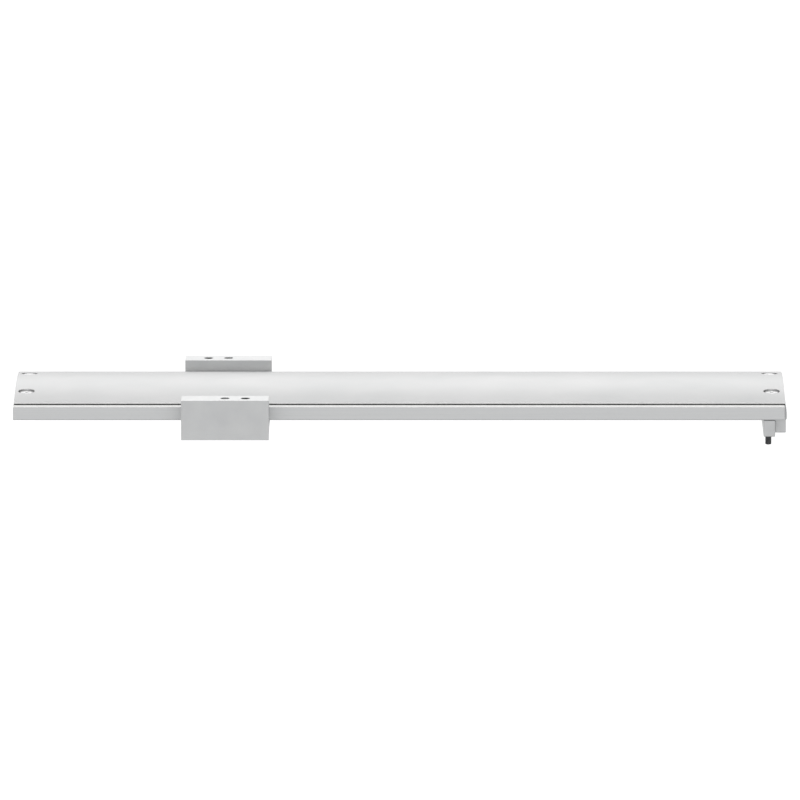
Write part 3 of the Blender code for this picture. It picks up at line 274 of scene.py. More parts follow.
def roundedOutline(corners, steps=4):
    # corners are (u, v, radius); each one with a radius becomes an arc
    outline = []
    count = len(corners)
    for i, (u, v, radius) in enumerate(corners):
        here = Vector((u, v))
        if radius <= 0:
            outline.append((u, v))
            continue
        before = (Vector(corners[i - 1][:2]) - here).normalized()
        after = (Vector(corners[(i + 1) % count][:2]) - here).normalized()
        half = before.angle(after) / 2
        centre = here + (before + after).normalized() * (radius / math.sin(half))
        start = here + before * (radius / math.tan(half)) - centre
        end = here + after * (radius / math.tan(half)) - centre
        turn = start.angle_signed(end)
        for k in range(steps + 1):
            angle = -turn * k / steps
            point = centre + Vector((start.x * math.cos(angle) - start.y * math.sin(angle),
                                     start.x * math.sin(angle) + start.y * math.cos(angle)))
            outline.append((point.x, point.y))
    return outline


def toMesh(name, bm):
    bmesh.ops.recalc_face_normals(bm, faces=bm.faces)
    mesh = bpy.data.meshes.new(name)
    bm.to_mesh(mesh)
    bm.free()
    return mesh


def boxMesh(low, high, edge=0.0, segments=3):
    low, high = Vector(low), Vector(high)
    bm = bmesh.new()
    bmesh.ops.create_cube(bm, size=1.0, matrix=Matrix.Translation((low + high) / 2) @ Matrix.Diagonal(
        (*(high - low), 1.0)))
    if edge:
        bmesh.ops.bevel(bm, geom=bm.edges[:], offset=edge, segments=segments, profile=0.5, affect="EDGES")
    return toMesh("box", bm)


def outlineMesh(outline, start, end, axis="X", edge=0.0):
    # a flat outline run along an axis, with its end edges broken by edge
    place = {"X": lambda u, v, w: (w, u, v), "Y": lambda u, v, w: (u, w, v), "Z": lambda u, v, w: (u, v, w)}[axis]
    bm = bmesh.new()
    rings = [[bm.verts.new(place(u, v, w)) for u, v in outline] for w in (start, end)]
    caps = [bm.faces.new(ring) for ring in rings]
    count = len(outline)
    for i in range(count):
        j = (i + 1) % count
        bm.faces.new((rings[0][i], rings[0][j], rings[1][j], rings[1][i]))
    bmesh.ops.recalc_face_normals(bm, faces=bm.faces)
    if edge:
        rims = [e for cap in caps for e in cap.edges]
        bmesh.ops.bevel(bm, geom=rims, offset=edge, segments=2, profile=0.5, affect="EDGES", clamp_overlap=True)
    return toMesh("outline", bm)


def turnedMesh(profile, steps=48, centre=(0, 0, 0), axis="Z", ring=False):
    # a (radius, height) profile turned round an axis
    place = {"X": lambda x, y, z: (z, x, y), "Y": lambda x, y, z: (y, z, x), "Z": lambda x, y, z: (x, y, z)}[axis]
    bm = bmesh.new()
    rows = []
    for radius, height in profile:
        if radius < 1e-7:
            rows.append([bm.verts.new(place(0, 0, height))])
            continue
        angles = [2 * math.pi * k / steps for k in range(steps)]
        rows.append([bm.verts.new(place(radius * math.cos(a), radius * math.sin(a), height)) for a in angles])
    pairs = list(zip(rows, rows[1:])) + ([(rows[-1], rows[0])] if ring else [])
    for upper, lower in pairs:
        for k in range(steps):
            j = (k + 1) % steps
            corners = [upper[k % len(upper)], upper[j % len(upper)], lower[j % len(lower)], lower[k % len(lower)]]
            corners = list(dict.fromkeys(corners))
            if len(corners) > 2:
                bm.faces.new(corners)
    bmesh.ops.translate(bm, verts=bm.verts, vec=Vector(centre))
    return toMesh("turned", bm)


def joinMeshes(meshes):
    bm = bmesh.new()
    for mesh in meshes:
        bm.from_mesh(mesh)
        bpy.data.meshes.remove(mesh)
    mesh = bpy.data.meshes.new("joined")
    bm.to_mesh(mesh)
    bm.free()
    return mesh


def movedMesh(mesh, matrix):
    mesh.transform(matrix)
    return mesh


def carve(mesh, others, operation="DIFFERENCE"):
    # booleans on throwaway objects; the result is a plain mesh
    target = bpy.data.objects.new("target", mesh)
    scene.collection.objects.link(target)
    helpers = []
    for other in others:
        helper = bpy.data.objects.new("helper", other)
        scene.collection.objects.link(helper)
        cut = target.modifiers.new("cut", "BOOLEAN")
        cut.operation = operation
        cut.solver = "EXACT"
        cut.object = helper
        helpers.append(helper)
    bpy.context.view_layer.update()
    result = bpy.data.meshes.new_from_object(target.evaluated_get(bpy.context.evaluated_depsgraph_get()))
    for thing in [target, *helpers]:
        data = thing.data
        bpy.data.objects.remove(thing)
        bpy.data.meshes.remove(data)
    return result


def holeMesh(centre, radius, low, high, mouth=0.0, axis="Z", mouthAt="high", steps=40):
    # a drill with a small cone at its mouth
    along = {"X": 0, "Y": 1, "Z": 2}[axis]
    base = Vector(centre)
    base[along] = 0
    over = 0.4 * mm
    if mouth and mouthAt == "high":
        profile = [(0, high + over), (radius + mouth + over, high + over), (radius, high - mouth), (radius, low),
                   (0, low)]
    elif mouth:
        profile = [(0, high), (radius, high), (radius, low + mouth), (radius + mouth + over, low - over),
                   (0, low - over)]
    else:
        profile = [(0, high), (radius, high), (radius, low), (0, low)]
    return turnedMesh(profile, steps, base, axis)


def threadedHoleMesh(centre, radius, low, high, pitch, depth, mouth):
    # a drill whose wall is ridged like a tapped thread
    profile = [(0, high + 0.4 * mm), (radius + mouth + 0.4 * mm, high + 0.4 * mm), (radius, high - mouth)]
    z = high - mouth - pitch * 0.3
    while z - pitch > low:
        profile += [(radius, z), (radius - depth, z - pitch * 0.5)]
        z -= pitch
    profile += [(radius - depth, low), (0, low - radius * 0.5)]
    return turnedMesh(profile, 48, (centre[0], centre[1], 0))


def addPiece(name, mesh, look, body, nodes=(), location=None, rotation=None, sharp=28,
             weighted=True):
    mesh.name = name
    piece = bpy.data.objects.new(name, mesh)
    scene.collection.objects.link(piece)
    if location is not None:
        piece.location = location
    if rotation is not None:
        piece.rotation_euler = rotation
    mesh.materials.clear()
    mesh.materials.append(looks[look])
    mesh.shade_smooth()
    mesh.set_sharp_from_angle(angle=math.radians(sharp))
    if weighted:
        normals = piece.modifiers.new("evenNormals", "WEIGHTED_NORMAL")
        normals.keep_sharp = True
    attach(piece, body)
    if nodes:
        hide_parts(*nodes)
    return piece


def paintSocketShade(piece, reach):
    # a screw's socket is painted black: painted shade down in the socket
    piece.data.materials.append(looks["blackSteel"])
    for face in piece.data.polygons:
        if face.center.xy.length < reach * 0.98 and face.center.z > 0:
            face.material_index = 1


def nodeBox(name):
    low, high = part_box(name)
    return Vector(low), Vector(high)


def nodeCentre(name):
    low, high = nodeBox(name)
    return (low + high) / 2


# camera

camera = {"pitch": 11.0, "lensPerFrame": 15.86, "distance": 13.115, "aimX": 51.75 * mm, "aimY": -95.6 * mm,
          "rise": 20.98 * mm, "shift": -0.0612}


def makeCamera():
    pitch = math.radians(camera["pitch"])
    forward = Vector((0, math.cos(pitch), -math.sin(pitch)))
    up = Vector((0, math.sin(pitch), math.cos(pitch)))
    data = bpy.data.cameras.new("camera")
    data.sensor_width = 36.0
    data.lens = data.sensor_width * camera["lensPerFrame"]
    data.shift_x = camera["shift"]
    data.clip_end = 100.0
    eye = bpy.data.objects.new("camera", data)
    scene.collection.objects.link(eye)
    eye.location = Vector((camera["aimX"], camera["aimY"], 0)) - forward * camera["distance"] + up * camera["rise"]
    eye.rotation_euler = (math.pi / 2 - pitch, 0, 0)
    scene.camera = eye


makeCamera()
print("camera made")

# floor and light

studio = {"floorDrop": 1.3, "floorSize": 60.0, "floorColour": "#D2D2D2", "glow": 0.68, "glowFrom": 1.2, "glowTo": 4.5,
          "rear": ((0.0, 0.42), (0.1, 0.73), (0.22, 1.58), (0.34, 1.4), (0.5, 0.52), (1.0, 0.54)),
          "front": ((0.0, 1.0), (0.22, 1.02), (0.45, 1.0), (1.0, 0.84)), "sideLoss": 0.65,
          "softboxPower": 42.0, "softboxSize": 3.0, "softboxHeight": 3.0, "softboxBack": 1.0}


def levelRamp(tree, source, levels):
    ramp = addNode(tree, "ShaderNodeValToRGB", None, {"Fac": (source, "Z")})
    stops = ramp.color_ramp.elements
    stops[0].position, stops[1].position = levels[0][0], levels[-1][0]
    for position, level in levels[1:-1]:
        stops.new(position)
    for stop, (position, level) in zip(stops, levels):
        stop.color = (level, level, level, 1.0)
    return ramp


def makeWorld():
    # a pale room: brighter behind the object, a little darker to its sides
    world = bpy.data.worlds.new("studio")
    world.use_nodes = True
    scene.world = world
    tree = world.node_tree
    place = addNode(tree, "ShaderNodeTexCoord")
    split = addNode(tree, "ShaderNodeSeparateXYZ", None, {"Vector": (place, "Generated")})
    rear, front = levelRamp(tree, split, studio["rear"]), levelRamp(tree, split, studio["front"])
    share = addNode(tree, "ShaderNodeMapRange",
                    {"interpolation_type": "SMOOTHSTEP", "From Min": -0.4, "From Max": 0.7},
                    {"Value": (split, "Y")})
    room = addNode(tree, "ShaderNodeMix", {"data_type": "RGBA"}, {"Factor": (share, "Result")})
    tree.links.new(front.outputs["Color"], room.inputs[6])
    tree.links.new(rear.outputs["Color"], room.inputs[7])
    across = addNode(tree, "ShaderNodeMath", {"operation": "ABSOLUTE"})
    tree.links.new(split.outputs["X"], across.inputs[0])
    loss = addNode(tree, "ShaderNodeMapRange", {
        "interpolation_type": "SMOOTHSTEP", "From Min": 0.2, "From Max": 0.95, "To Min": 1.0,
        "To Max": 1.0 - studio["sideLoss"]}, {"Value": (across, "Value")})
    background = tree.nodes["Background"]
    tree.links.new(room.outputs[2], background.inputs["Color"])
    tree.links.new(loss.outputs["Result"], background.inputs["Strength"])


def makeFloor():
    # matt paper whose outer part glows, a painted light, so that it reads as plain white behind the object
    paper, tree, shader, place = startMaterial("paperWithPaintedGlow", studio["floorColour"], 0.0, 0.95)
    reach = addNode(tree, "ShaderNodeVectorMath", {"operation": "LENGTH"})
    tree.links.new(place.outputs["Object"], reach.inputs[0])
    glow = addNode(tree, "ShaderNodeMapRange", {
        "interpolation_type": "SMOOTHSTEP", "From Min": studio["glowFrom"], "From Max": studio["glowTo"],
        "To Max": studio["glow"]}, {"Value": (reach, "Value")})
    shader.inputs["Emission Color"].default_value = (1.0, 1.0, 1.0, 1.0)
    tree.links.new(glow.outputs["Result"], shader.inputs["Emission Strength"])
    bm = bmesh.new()
    bmesh.ops.create_grid(bm, x_segments=1, y_segments=1, size=studio["floorSize"] / 2)
    mesh = bpy.data.meshes.new("floor")
    bm.to_mesh(mesh)
    bm.free()
    mesh.materials.append(paper)
    floor = bpy.data.objects.new("floor", mesh)
    scene.collection.objects.link(floor)
    floor.location = (0, 0, cadBounds[0][2] - studio["floorDrop"])


def makeSoftbox():
    light = bpy.data.lights.new("softbox", "AREA")
    light.energy = studio["softboxPower"]
    light.size = studio["softboxSize"]
    lamp = bpy.data.objects.new("softbox", light)
    scene.collection.objects.link(lamp)
    lamp.location = (0, studio["softboxBack"], studio["softboxHeight"])
    lamp.rotation_euler = (-math.atan2(studio["softboxBack"], studio["softboxHeight"]), 0, 0)


scene.view_settings.view_transform = "Standard"
makeWorld()
makeFloor()
makeSoftbox()
print("studio made")


# screws

def screwMesh(shank, head, height, socket, length, style="cap", pitch=0.5 * mm, knurl=0.0, steps=48):
    # rings from the tip to the socket floor; the head's seat is at height 0, or its face is for a countersunk one
    angles = [2 * math.pi * k / steps for k in range(steps)]
    across = socket * math.cos(math.pi / 6)

    def circle(radius, z):
        return [(radius * math.cos(a), radius * math.sin(a), z) for a in angles]

    def ribbed(radius, z):
        return [((radius - knurl * (k % 2)) * math.cos(a), (radius - knurl * (k % 2)) * math.sin(a), z)
                for k, a in enumerate(angles)]

    def hexagon(z):
        radii = [across / math.cos((a % (math.pi / 3)) - math.pi / 6) for a in angles]
        return [(r * math.cos(a), r * math.sin(a), z) for r, a in zip(radii, angles)]

    top = 0.0 if style == "countersunk" else height
    seat = -height if style == "countersunk" else 0.0
    floor = top - height * 0.6
    rings = [circle(shank * 0.7, -length), circle(shank * 0.92, -length + pitch * 0.6)]
    z = -length + pitch * 0.6
    ridges = min(16, int((length + seat) / pitch) - 2)
    for _ in range(max(0, ridges)):
        rings += [circle(shank, z + pitch * 0.4), circle(shank * 0.88, z + pitch * 0.9)]
        z += pitch
    rings.append(circle(shank, z + pitch * 0.4))
    rings.append(circle(shank, seat))
    edge = min(height * 0.16, 0.45 * mm)
    if style == "countersunk":
        rings += [circle(head, top - edge * 0.5), circle(head - edge * 0.2, top)]
    elif style == "flange":
        rings += [circle(head - edge, seat), circle(head, seat + edge), circle(head, top - edge),
                  circle(head - edge * 0.4, top - edge * 0.3), circle(head - edge * 1.4, top)]
    elif style == "button":
        bulge = [(math.cos(t), math.sin(t)) for t in [math.pi / 2 * k / 6 for k in range(6)]]
        rings += [circle(head, seat + edge * 0.5)]
        rings += [circle(socket * 1.3 + (head - socket * 1.3) * c, seat + edge * 0.5 + (height - edge * 0.5) * s)
                  for c, s in bulge]
        rings += [circle(socket * 1.3, top)]
    else:
        rings += [circle(head - edge, seat), ribbed(head, seat + edge * 0.6), ribbed(head, top - edge * 1.2),
                  circle(head - edge, top - edge * 0.3), circle(head - edge * 1.6, top)]
    rings += [circle(socket * 1.12, top), hexagon(top - socket * 0.14), hexagon(floor)]
    bm = bmesh.new()
    rows = [[bm.verts.new(point) for point in ring] for ring in rings]
    for lower, upper in zip(rows, rows[1:]):
        for k in range(steps):
            j = (k + 1) % steps
            bm.faces.new((lower[k], lower[j], upper[j], upper[k]))
    bm.faces.new(rows[0])
    pit = bm.verts.new((0, 0, floor - socket * 0.25))
    for k in range(steps):
        bm.faces.new((rows[-1][k], rows[-1][(k + 1) % steps], pit))
    return toMesh("screw", bm)


# the way that a screw's head or a buffer's free end faces
turns = {"down": (math.pi, 0, 0), "right": (0, math.pi / 2, 0), "left": (0, -math.pi / 2, 0),
         "rear": (-math.pi / 2, 0, 0)}
# drill radii by thread, for the shank and for a sunk head
clear = {"m2": 1.1 * mm, "m25": 1.35 * mm, "m3": 1.65 * mm, "m4": 2.15 * mm, "m5": 2.65 * mm}
headSeat = {"m3": 2.95 * mm, "m4": 3.7 * mm}
past = 1 * mm  # how far a cutter runs past the face that it opens


def addUpwardScrew(name, node, body, shank, head, height, socket, pitch, knurl):
    # a cap screw with its head at the foot of its node
    low, high = nodeBox(node)
    spot = nodeCentre(node)
    screw = screwMesh(shank, head, height, socket, high.z - low.z - height, "cap", pitch, knurl)
    addPiece(name, screw, "blackSteel", body, [node], (spot.x, spot.y, low.z + height),
             turns["down"])


# rail and cover

rail = {"floor": 3.5 * mm, "side": 15.5 * mm, "lowerEdge": 1.0 * mm, "upperEdge": 0.3 * mm, "cavityEdge": 0.8 * mm,
        "endEdge": 0.35 * mm, "boss": 18.0 * mm, "bossLength": 15.0 * mm, "bossEdge": 0.5 * mm, "plate": 3.0 * mm,
        "gap": 0.3 * mm, "slotWidth": 7.5 * mm, "slotPast": 2.0 * mm, "keyWidth": 5.0 * mm, "keyDepth": 1.2 * mm,
        "keyEdge": 0.2 * mm, "keyY": 34.0 * mm, "bearingFloor": 1.0 * mm, "coverTapFloor": 4.5 * mm,
        "capTap": 8 * mm}
coverScrew = nodeCentre("cover_screw_rear_right")
cover = {"half": 86.2 * mm, "lipGap": 1.7 * mm, "lip": 1.1 * mm, "rise": 7.35 * mm, "shell": 2.2 * mm,
         "footInset": 2.2 * mm, "foot": 3.2 * mm, "lipEdge": 0.3 * mm, "endEdge": 0.25 * mm, "arcSteps": 120,
         "screwX": coverScrew.x, "screwY": coverScrew.y, "spot": 8.5 * mm, "pad": 11.0 * mm, "screwHead": 6.7 * mm,
         "screwHeight": 1.3 * mm, "screwLength": 11 * mm, "socket": 1.95 * mm, "washer": 0.5 * mm,
         "washerHole": 2.3 * mm, "washerRim": 7.0 * mm}
railLow, railHigh = nodeBox("base_rail")
domeCrown = railHigh.z + cover["lipGap"] + cover["lip"] + cover["rise"]
domeRadius = (cover["half"] ** 2 + cover["rise"] ** 2) / (2 * cover["rise"])


def domeHeight(y, inside=0.0):
    return domeCrown - domeRadius + math.sqrt((domeRadius - inside) ** 2 - y ** 2)


def makeRail():
    sideY, top = railHigh.y, railHigh.z
    cavity = sideY - rail["side"]
    low, up, inner = rail["lowerEdge"], rail["upperEdge"], rail["cavityEdge"]
    right = [(0.0, 0.0, 0), (rail["keyY"], 0.0, 0), (rail["keyY"], rail["keyDepth"], rail["keyEdge"]),
             (rail["keyY"] + rail["keyWidth"], rail["keyDepth"], rail["keyEdge"]),
             (rail["keyY"] + rail["keyWidth"], 0.0, 0),
             (sideY, 0.0, low), (sideY, top, up), (cavity, top, up), (cavity, rail["floor"], inner)]
    corners = right[1:] + [(-y, z, r) for y, z, r in reversed(right[1:])]
    mesh = outlineMesh(roundedOutline(corners), railLow.x, railHigh.x, "X", rail["endEdge"])
    bosses = []
    for sx in ends.values():
        for sy in sides.values():
            outer = railHigh.x - rail["plate"] - 3 * rail["gap"]
            xs = sorted((sx * outer, sx * (outer - rail["bossLength"])))
            y = sy * cover["screwY"]
            bosses.append(boxMesh((xs[0], y - rail["boss"] / 2, rail["floor"] / 2),
                                  (xs[1], y + rail["boss"] / 2, top - rail["gap"]), rail["bossEdge"], 2))
    mesh = carve(mesh, bosses, "UNION")
    slotLow, slotHigh = slotEnds()
    slotY = beltRunY()
    half = rail["slotWidth"] / 2
    track = roundedOutline([(slotLow, slotY - half, half * 0.99), (slotHigh, slotY - half, half * 0.99),
                            (slotHigh, slotY + half, half * 0.99), (slotLow, slotY + half, half * 0.99)], 10)
    cuts = [outlineMesh(track, -past, rail["floor"] + past, "Z"),
            holeMesh((drive["x"], 0, 0), drive["bearing"] + 0.1 * mm, rail["bearingFloor"], rail["floor"] + past),
            holeMesh((drive["x"], 0, 0), drive["shaft"] + 1 * mm, -past, rail["bearingFloor"] + past)]
    for sy in sides.values():
        for sx in ends.values():
            cuts.append(holeMesh((sx * cover["screwX"], sy * cover["screwY"], 0), clear["m4"],
                                 rail["coverTapFloor"],
                                 top - rail["gap"], 0.3 * mm))
        x = guide["reach"]
        while x > -guide["reach"] - 1 * mm:
            cuts.append(holeMesh((x, sy * guide["y"], 0), guide["shank"] + 0.15 * mm, -past, rail["floor"] + past,
                                 steps=16))
            x -= guide["pitch"]
    for node, thread in (("crossbar_screw", "m4"), ("end_block_screw", "m3")):
        for side in sides:
            spot = nodeCentre(f"{node}_{side}")
            reach = nodeBox(f"{node}_{side}")[1].z + 0.5 * mm
            cuts.append(holeMesh(spot, clear[thread], -past, reach, steps=20))
    for side in sides:
        spot = nodeCentre(f"end_cap_screw_{side}")
        cuts.append(holeMesh(spot, clear["m25"], railHigh.x - rail["capTap"], railHigh.x + past, 0, "X", steps=20))
        cuts.append(holeMesh(spot, clear["m25"], railLow.x - past, railLow.x + rail["capTap"], 0, "X", steps=20))
    mesh = carve(mesh, cuts)
    addPiece("rail_extrusion", mesh, "extrusion", "rail", ["base_rail"])
    # the top faces and their edges get a paler copy of the metal, a painted highlight on the rail's tops
    mesh.materials.append(looks["land"])
    for face in mesh.polygons:
        if face.normal.z > 0.25 and face.center.z > top - 2 * up:
            face.material_index = 1


def beltRunY():
    low, high = nodeBox("drive_belt")
    return low.y + drive["beltThickness"] / 2


def slotEnds():
    clampLow, clampHigh = nodeBox("belt_clamp_jaw")
    joint = next(j for j in frame["joints"] if j["name"] == "carriage_slide")
    reach = joint.get("range_m") or joint.get("range")
    return clampLow.x + reach[0] - rail["slotPast"], clampHigh.x + reach[1] + rail["slotPast"]


def makeCover():
    low, high = nodeBox("dome_cover")
    lipBottom = railHigh.z + cover["lipGap"]
    lipTop = lipBottom + cover["lip"]
    footOuter = cover["half"] - cover["footInset"]
    footInner = footOuter - cover["foot"]
    footBottom = railHigh.z + rail["gap"]
    steps, half = cover["arcSteps"], cover["half"]
    arc = [half * 0.996 - 2 * half * 0.996 * k / steps for k in range(steps + 1)]
    outer = [(-y, domeHeight(y)) for y in arc]
    rim = roundedOutline([(half - 1.2 * mm, lipTop, 0), (half, lipTop, cover["lipEdge"]),
                          (half, lipBottom, cover["lipEdge"]), (footOuter, lipBottom, 0.2 * mm),
                          (footOuter, footBottom, 0.3 * mm), (footInner, footBottom, 0.3 * mm),
                          (footInner, footBottom + 1.0 * mm, 0)], 3)[1:]
    inside = [footInner - 2 * footInner * k / steps for k in range(steps + 1)]
    inner = [(y, domeHeight(y, cover["shell"])) for y in inside]
    outline = outer + rim + inner[1:-1] + [(-y, z) for y, z in reversed(rim)]
    mesh = outlineMesh(outline, low.x, high.x, "X", cover["endEdge"])
    floor = nodeBox("cover_screw_rear_right")[1].z - cover["screwHeight"] - rail["gap"]
    pads, cuts = [], []
    for sx in ends.values():
        for sy in sides.values():
            x, y = sx * cover["screwX"], sy * cover["screwY"]
            ridge = [y + cover["pad"] - cover["pad"] * k / 8 for k in range(17)]
            shape = [(y - cover["pad"], footBottom), (y + cover["pad"], footBottom)]
            shape += [(across, domeHeight(across, cover["shell"] / 2)) for across in ridge]
            xs = sorted((sx * (cover["screwX"] - cover["pad"]),
                         sx * (railHigh.x - rail["plate"] - 2 * rail["gap"])))
            pads.append(outlineMesh(shape, *xs))
            cuts.append(holeMesh((x, y, 0), cover["spot"], floor, domeCrown + 2 * mm, steps=96))
            cuts.append(holeMesh((x, y, 0), clear["m4"], footBottom - past, floor + past))
    mesh = carve(carve(mesh, pads, "UNION"), cuts)
    addPiece("dome_cover_shell", mesh, "cover", "rail", ["dome_cover"], sharp=24)
    for end, sx in ends.items():
        for side, sy in sides.items():
            screw = screwMesh(2.0 * mm, cover["screwHead"], cover["screwHeight"], cover["socket"],
                              cover["screwLength"], "flange", 0.7 * mm)
            spot = (sx * cover["screwX"], sy * cover["screwY"], floor + cover["washer"] + 0.1 * mm)
            # the cover screws take the paler stainless, a painted highlight, and their sockets get painted shade
            piece = addPiece(f"cover_flange_screw_{side}_{end}", screw, "highlightedScrew", "rail",
                             [f"cover_screw_{side}_{end}"], spot)
            paintSocketShade(piece, cover["socket"])
            ring = [(cover["washerHole"], 0), (cover["washerRim"], 0), (cover["washerRim"], cover["washer"]),
                    (cover["washerHole"], cover["washer"])]
            addPiece(f"cover_washer_{side}_{end}", turnedMesh(ring, 64, (0, 0, 0), "Z", True), "stainless",
                     "rail", (),
                     (spot[0], spot[1], floor + 0.05 * mm))


strips = {"height": 0.5 * mm, "inset": 0.35 * mm, "edge": 0.15 * mm, "seal": 0.8 * mm, "sealEdge": 0.1 * mm}


def makeStrips():
    # a near-white strip on each ledge of the rail, a painted highlight on the ledge, and a seal in the gap behind it
    low, high = nodeBox("dome_cover")
    foot = cover["half"] - cover["footInset"]
    for side, sy in sides.items():
        inner, outer = foot + strips["seal"] + 0.25 * mm, railHigh.y - strips["inset"]
        ys = sorted((sy * inner, sy * outer))
        # the near-white strip lies on the ledge as a painted highlight
        mesh = boxMesh((railLow.x + strips["inset"], ys[0], railHigh.z + 0.02 * mm),
                       (railHigh.x - strips["inset"], ys[1], railHigh.z + strips["height"]), strips["edge"], 2)
        addPiece(f"ledge_highlight_strip_{side}", mesh, "strip", "rail")
        ys = sorted((sy * (foot + 0.05 * mm), sy * (foot + strips["seal"])))
        mesh = boxMesh((low.x + strips["inset"], ys[0], railHigh.z + 0.02 * mm),
                       (high.x - strips["inset"], ys[1], railHigh.z + cover["lipGap"] - 0.05 * mm),
                       strips["sealEdge"], 1)
        addPiece(f"cover_seal_{side}", mesh, "rubber", "rail", ())


def makeEndPlates():
    for end, sx in ends.items():
        low, high = nodeBox(f"{end}_end_plate")
        half = high.y
        ridge = [half - 2 * half * k / 48 for k in range(49)]
        outline = [(-half, low.z), (half, low.z)]
        outline += [(y, domeHeight(y, cover["shell"] + rail["gap"])) for y in ridge]
        mesh = outlineMesh(outline, low.x, high.x, "X", 0.25 * mm)
        face = low.x if sx < 0 else high.x
        cuts = []
        for side in sides:
            spot = nodeCentre(f"{end}_plate_screw_{side}")
            start, finish, mouthAt = (low.x - past, face, "high") if sx > 0 else (face, high.x + past, "low")
            cuts.append(holeMesh(spot, clear["m3"], start, finish, 1.5 * mm, "X", mouthAt, 32))
        if end == "left":
            spot = nodeCentre("tension_screw")
            cuts.append(holeMesh(spot, clear["m5"], face, high.x + past, 2.1 * mm, "X", "low", 32))
        addPiece(f"{end}_cavity_plate", carve(mesh, cuts), "block", "rail", [f"{end}_end_plate"])
        for side in sides:
            node = f"{end}_plate_screw_{side}"
            spot = nodeCentre(node)
            screw = screwMesh(1.5 * mm, 3.0 * mm, 1.7 * mm, 1.15 * mm, 7.8 * mm, "countersunk")
            addPiece(f"{end}_countersunk_screw_{side}", screw, "stainless", "rail", [node],
                     (face, spot.y, spot.z), turns["right"] if sx > 0 else turns["left"])
    spot = nodeCentre("tension_screw")
    low, high = nodeBox("tension_screw")
    screw = screwMesh(2.5 * mm, 4.6 * mm, 2.4 * mm, 1.7 * mm, high.x - low.x, "countersunk", 0.8 * mm)
    addPiece("belt_tension_screw", screw, "blackSteel", "rail", ["tension_screw"],
             (low.x, spot.y, spot.z), turns["left"])


def makeEndCap():
    low, high = nodeBox("right_end_cap")
    base, steps = 0.6 * mm, 28  # the flat foot of the rounded face, and the facets of its curve
    crown = high.x - low.x - base
    outline = [(low.x, low.z), (low.x, high.z)]
    for k in range(steps + 1):
        t = 1 - k / steps
        swell = math.sin(math.pi * t ** 0.62) ** 0.75 if 0 < t < 1 else 0.0
        outline.append((low.x + base + crown * swell, low.z + (high.z - low.z) * t))
    mesh = outlineMesh(outline, low.y, high.y, "Y", 0.4 * mm)
    cuts = []
    for side in sides:
        spot = nodeCentre(f"end_cap_screw_{side}")
        cuts.append(holeMesh(spot, clear["m4"], low.x + base, high.x + past, 0, "X"))
        cuts.append(holeMesh(spot, clear["m25"], low.x - past, high.x + past, 0, "X"))
    addPiece("right_rounded_cap", carve(mesh, cuts), "block", "rail", ["right_end_cap"])
    for side in sides:
        node = f"end_cap_screw_{side}"
        spot = nodeCentre(node)
        screw = screwMesh(1.2 * mm, 2.0 * mm, 0.8 * mm, 0.8 * mm, 6.8 * mm, "button", 0.45 * mm)
        addPiece(f"cap_button_screw_{side}", screw, "stainless", "rail", [node],
                 (low.x + 0.75 * mm, spot.y, spot.z), turns["right"])


# bar and block under the right end, stops and bumpers

under = {"barEdge": 1.0 * mm, "blockEdge": 0.9 * mm, "bumperEdge": 0.7 * mm, "bushEdge": 0.25 * mm,
         "barSeat": 4.3 * mm, "blockSeat": 3.3 * mm, "mountY": 30 * mm, "mountHole": 2.1 * mm,
         "mountDepth": 10 * mm,
         "stopScrewY": 7 * mm, "stopSeat": 3.4 * mm}


def makeUnderBlocks():
    low, high = nodeBox("drive_crossbar")
    mesh = boxMesh(low, high, under["barEdge"], 4)
    bushLow, bushHigh = nodeBox("shaft_bush")
    bushRadius = bushHigh.x - drive["x"]
    cuts = [holeMesh((drive["x"], 0, 0), bushRadius + 0.1 * mm, low.z, high.z + past, 0.35 * mm, "Z", "low")]
    for side in sides:
        spot = nodeCentre(f"crossbar_screw_{side}")
        seat = nodeBox(f"crossbar_screw_{side}")[0].z + under["barSeat"]
        cuts.append(holeMesh(spot, headSeat["m4"], low.z, seat, 0.25 * mm, "Z", "low"))
        cuts.append(holeMesh(spot, clear["m4"], low.z, high.z + past))
    addPiece("drive_end_bar", carve(mesh, cuts), "block", "rail", ["drive_crossbar"])
    for side in sides:
        addUpwardScrew(f"bar_cap_screw_{side}", f"crossbar_screw_{side}", "rail", 2.0 * mm, 3.5 * mm, 4.0 * mm,
                       1.7 * mm, 0.7 * mm, 0.12 * mm)
    inner, outer, edge = drive["shaft"] + drive["fit"], bushRadius, under["bushEdge"]
    profile = [(inner + edge, bushHigh.z), (outer, bushHigh.z), (outer, bushLow.z + edge),
               (outer - edge, bushLow.z),
               (inner + edge, bushLow.z), (inner, bushLow.z + edge), (inner, bushHigh.z - edge)]
    addPiece("shaft_bronze_bush", turnedMesh(profile, 64, (0, 0, 0), "Z", True), "bronze", "rail", ["shaft_bush"],
             (drive["x"], 0, 0))
    low, high = nodeBox("end_block")
    mesh = boxMesh(low, high, under["blockEdge"], 4)
    cuts = []
    for side in sides:
        spot = nodeCentre(f"end_block_screw_{side}")
        cuts.append(holeMesh(spot, headSeat["m3"], low.z, low.z + under["blockSeat"], 0.25 * mm, "Z", "low"))
        cuts.append(holeMesh(spot, clear["m3"], low.z, high.z + past))
    for sy in sides.values():
        spot = ((low.x + high.x) / 2, sy * under["mountY"], 0)
        cuts.append(holeMesh(spot, under["mountHole"], low.z, low.z + under["mountDepth"], 0.4 * mm, "Z", "low"))
    addPiece("end_mounting_block", carve(mesh, cuts), "block", "rail", ["end_block"])
    for side in sides:
        addUpwardScrew(f"block_cap_screw_{side}", f"end_block_screw_{side}", "rail", 1.5 * mm, 2.75 * mm, 3.0 * mm,
                       1.35 * mm, 0.5 * mm, 0.1 * mm)


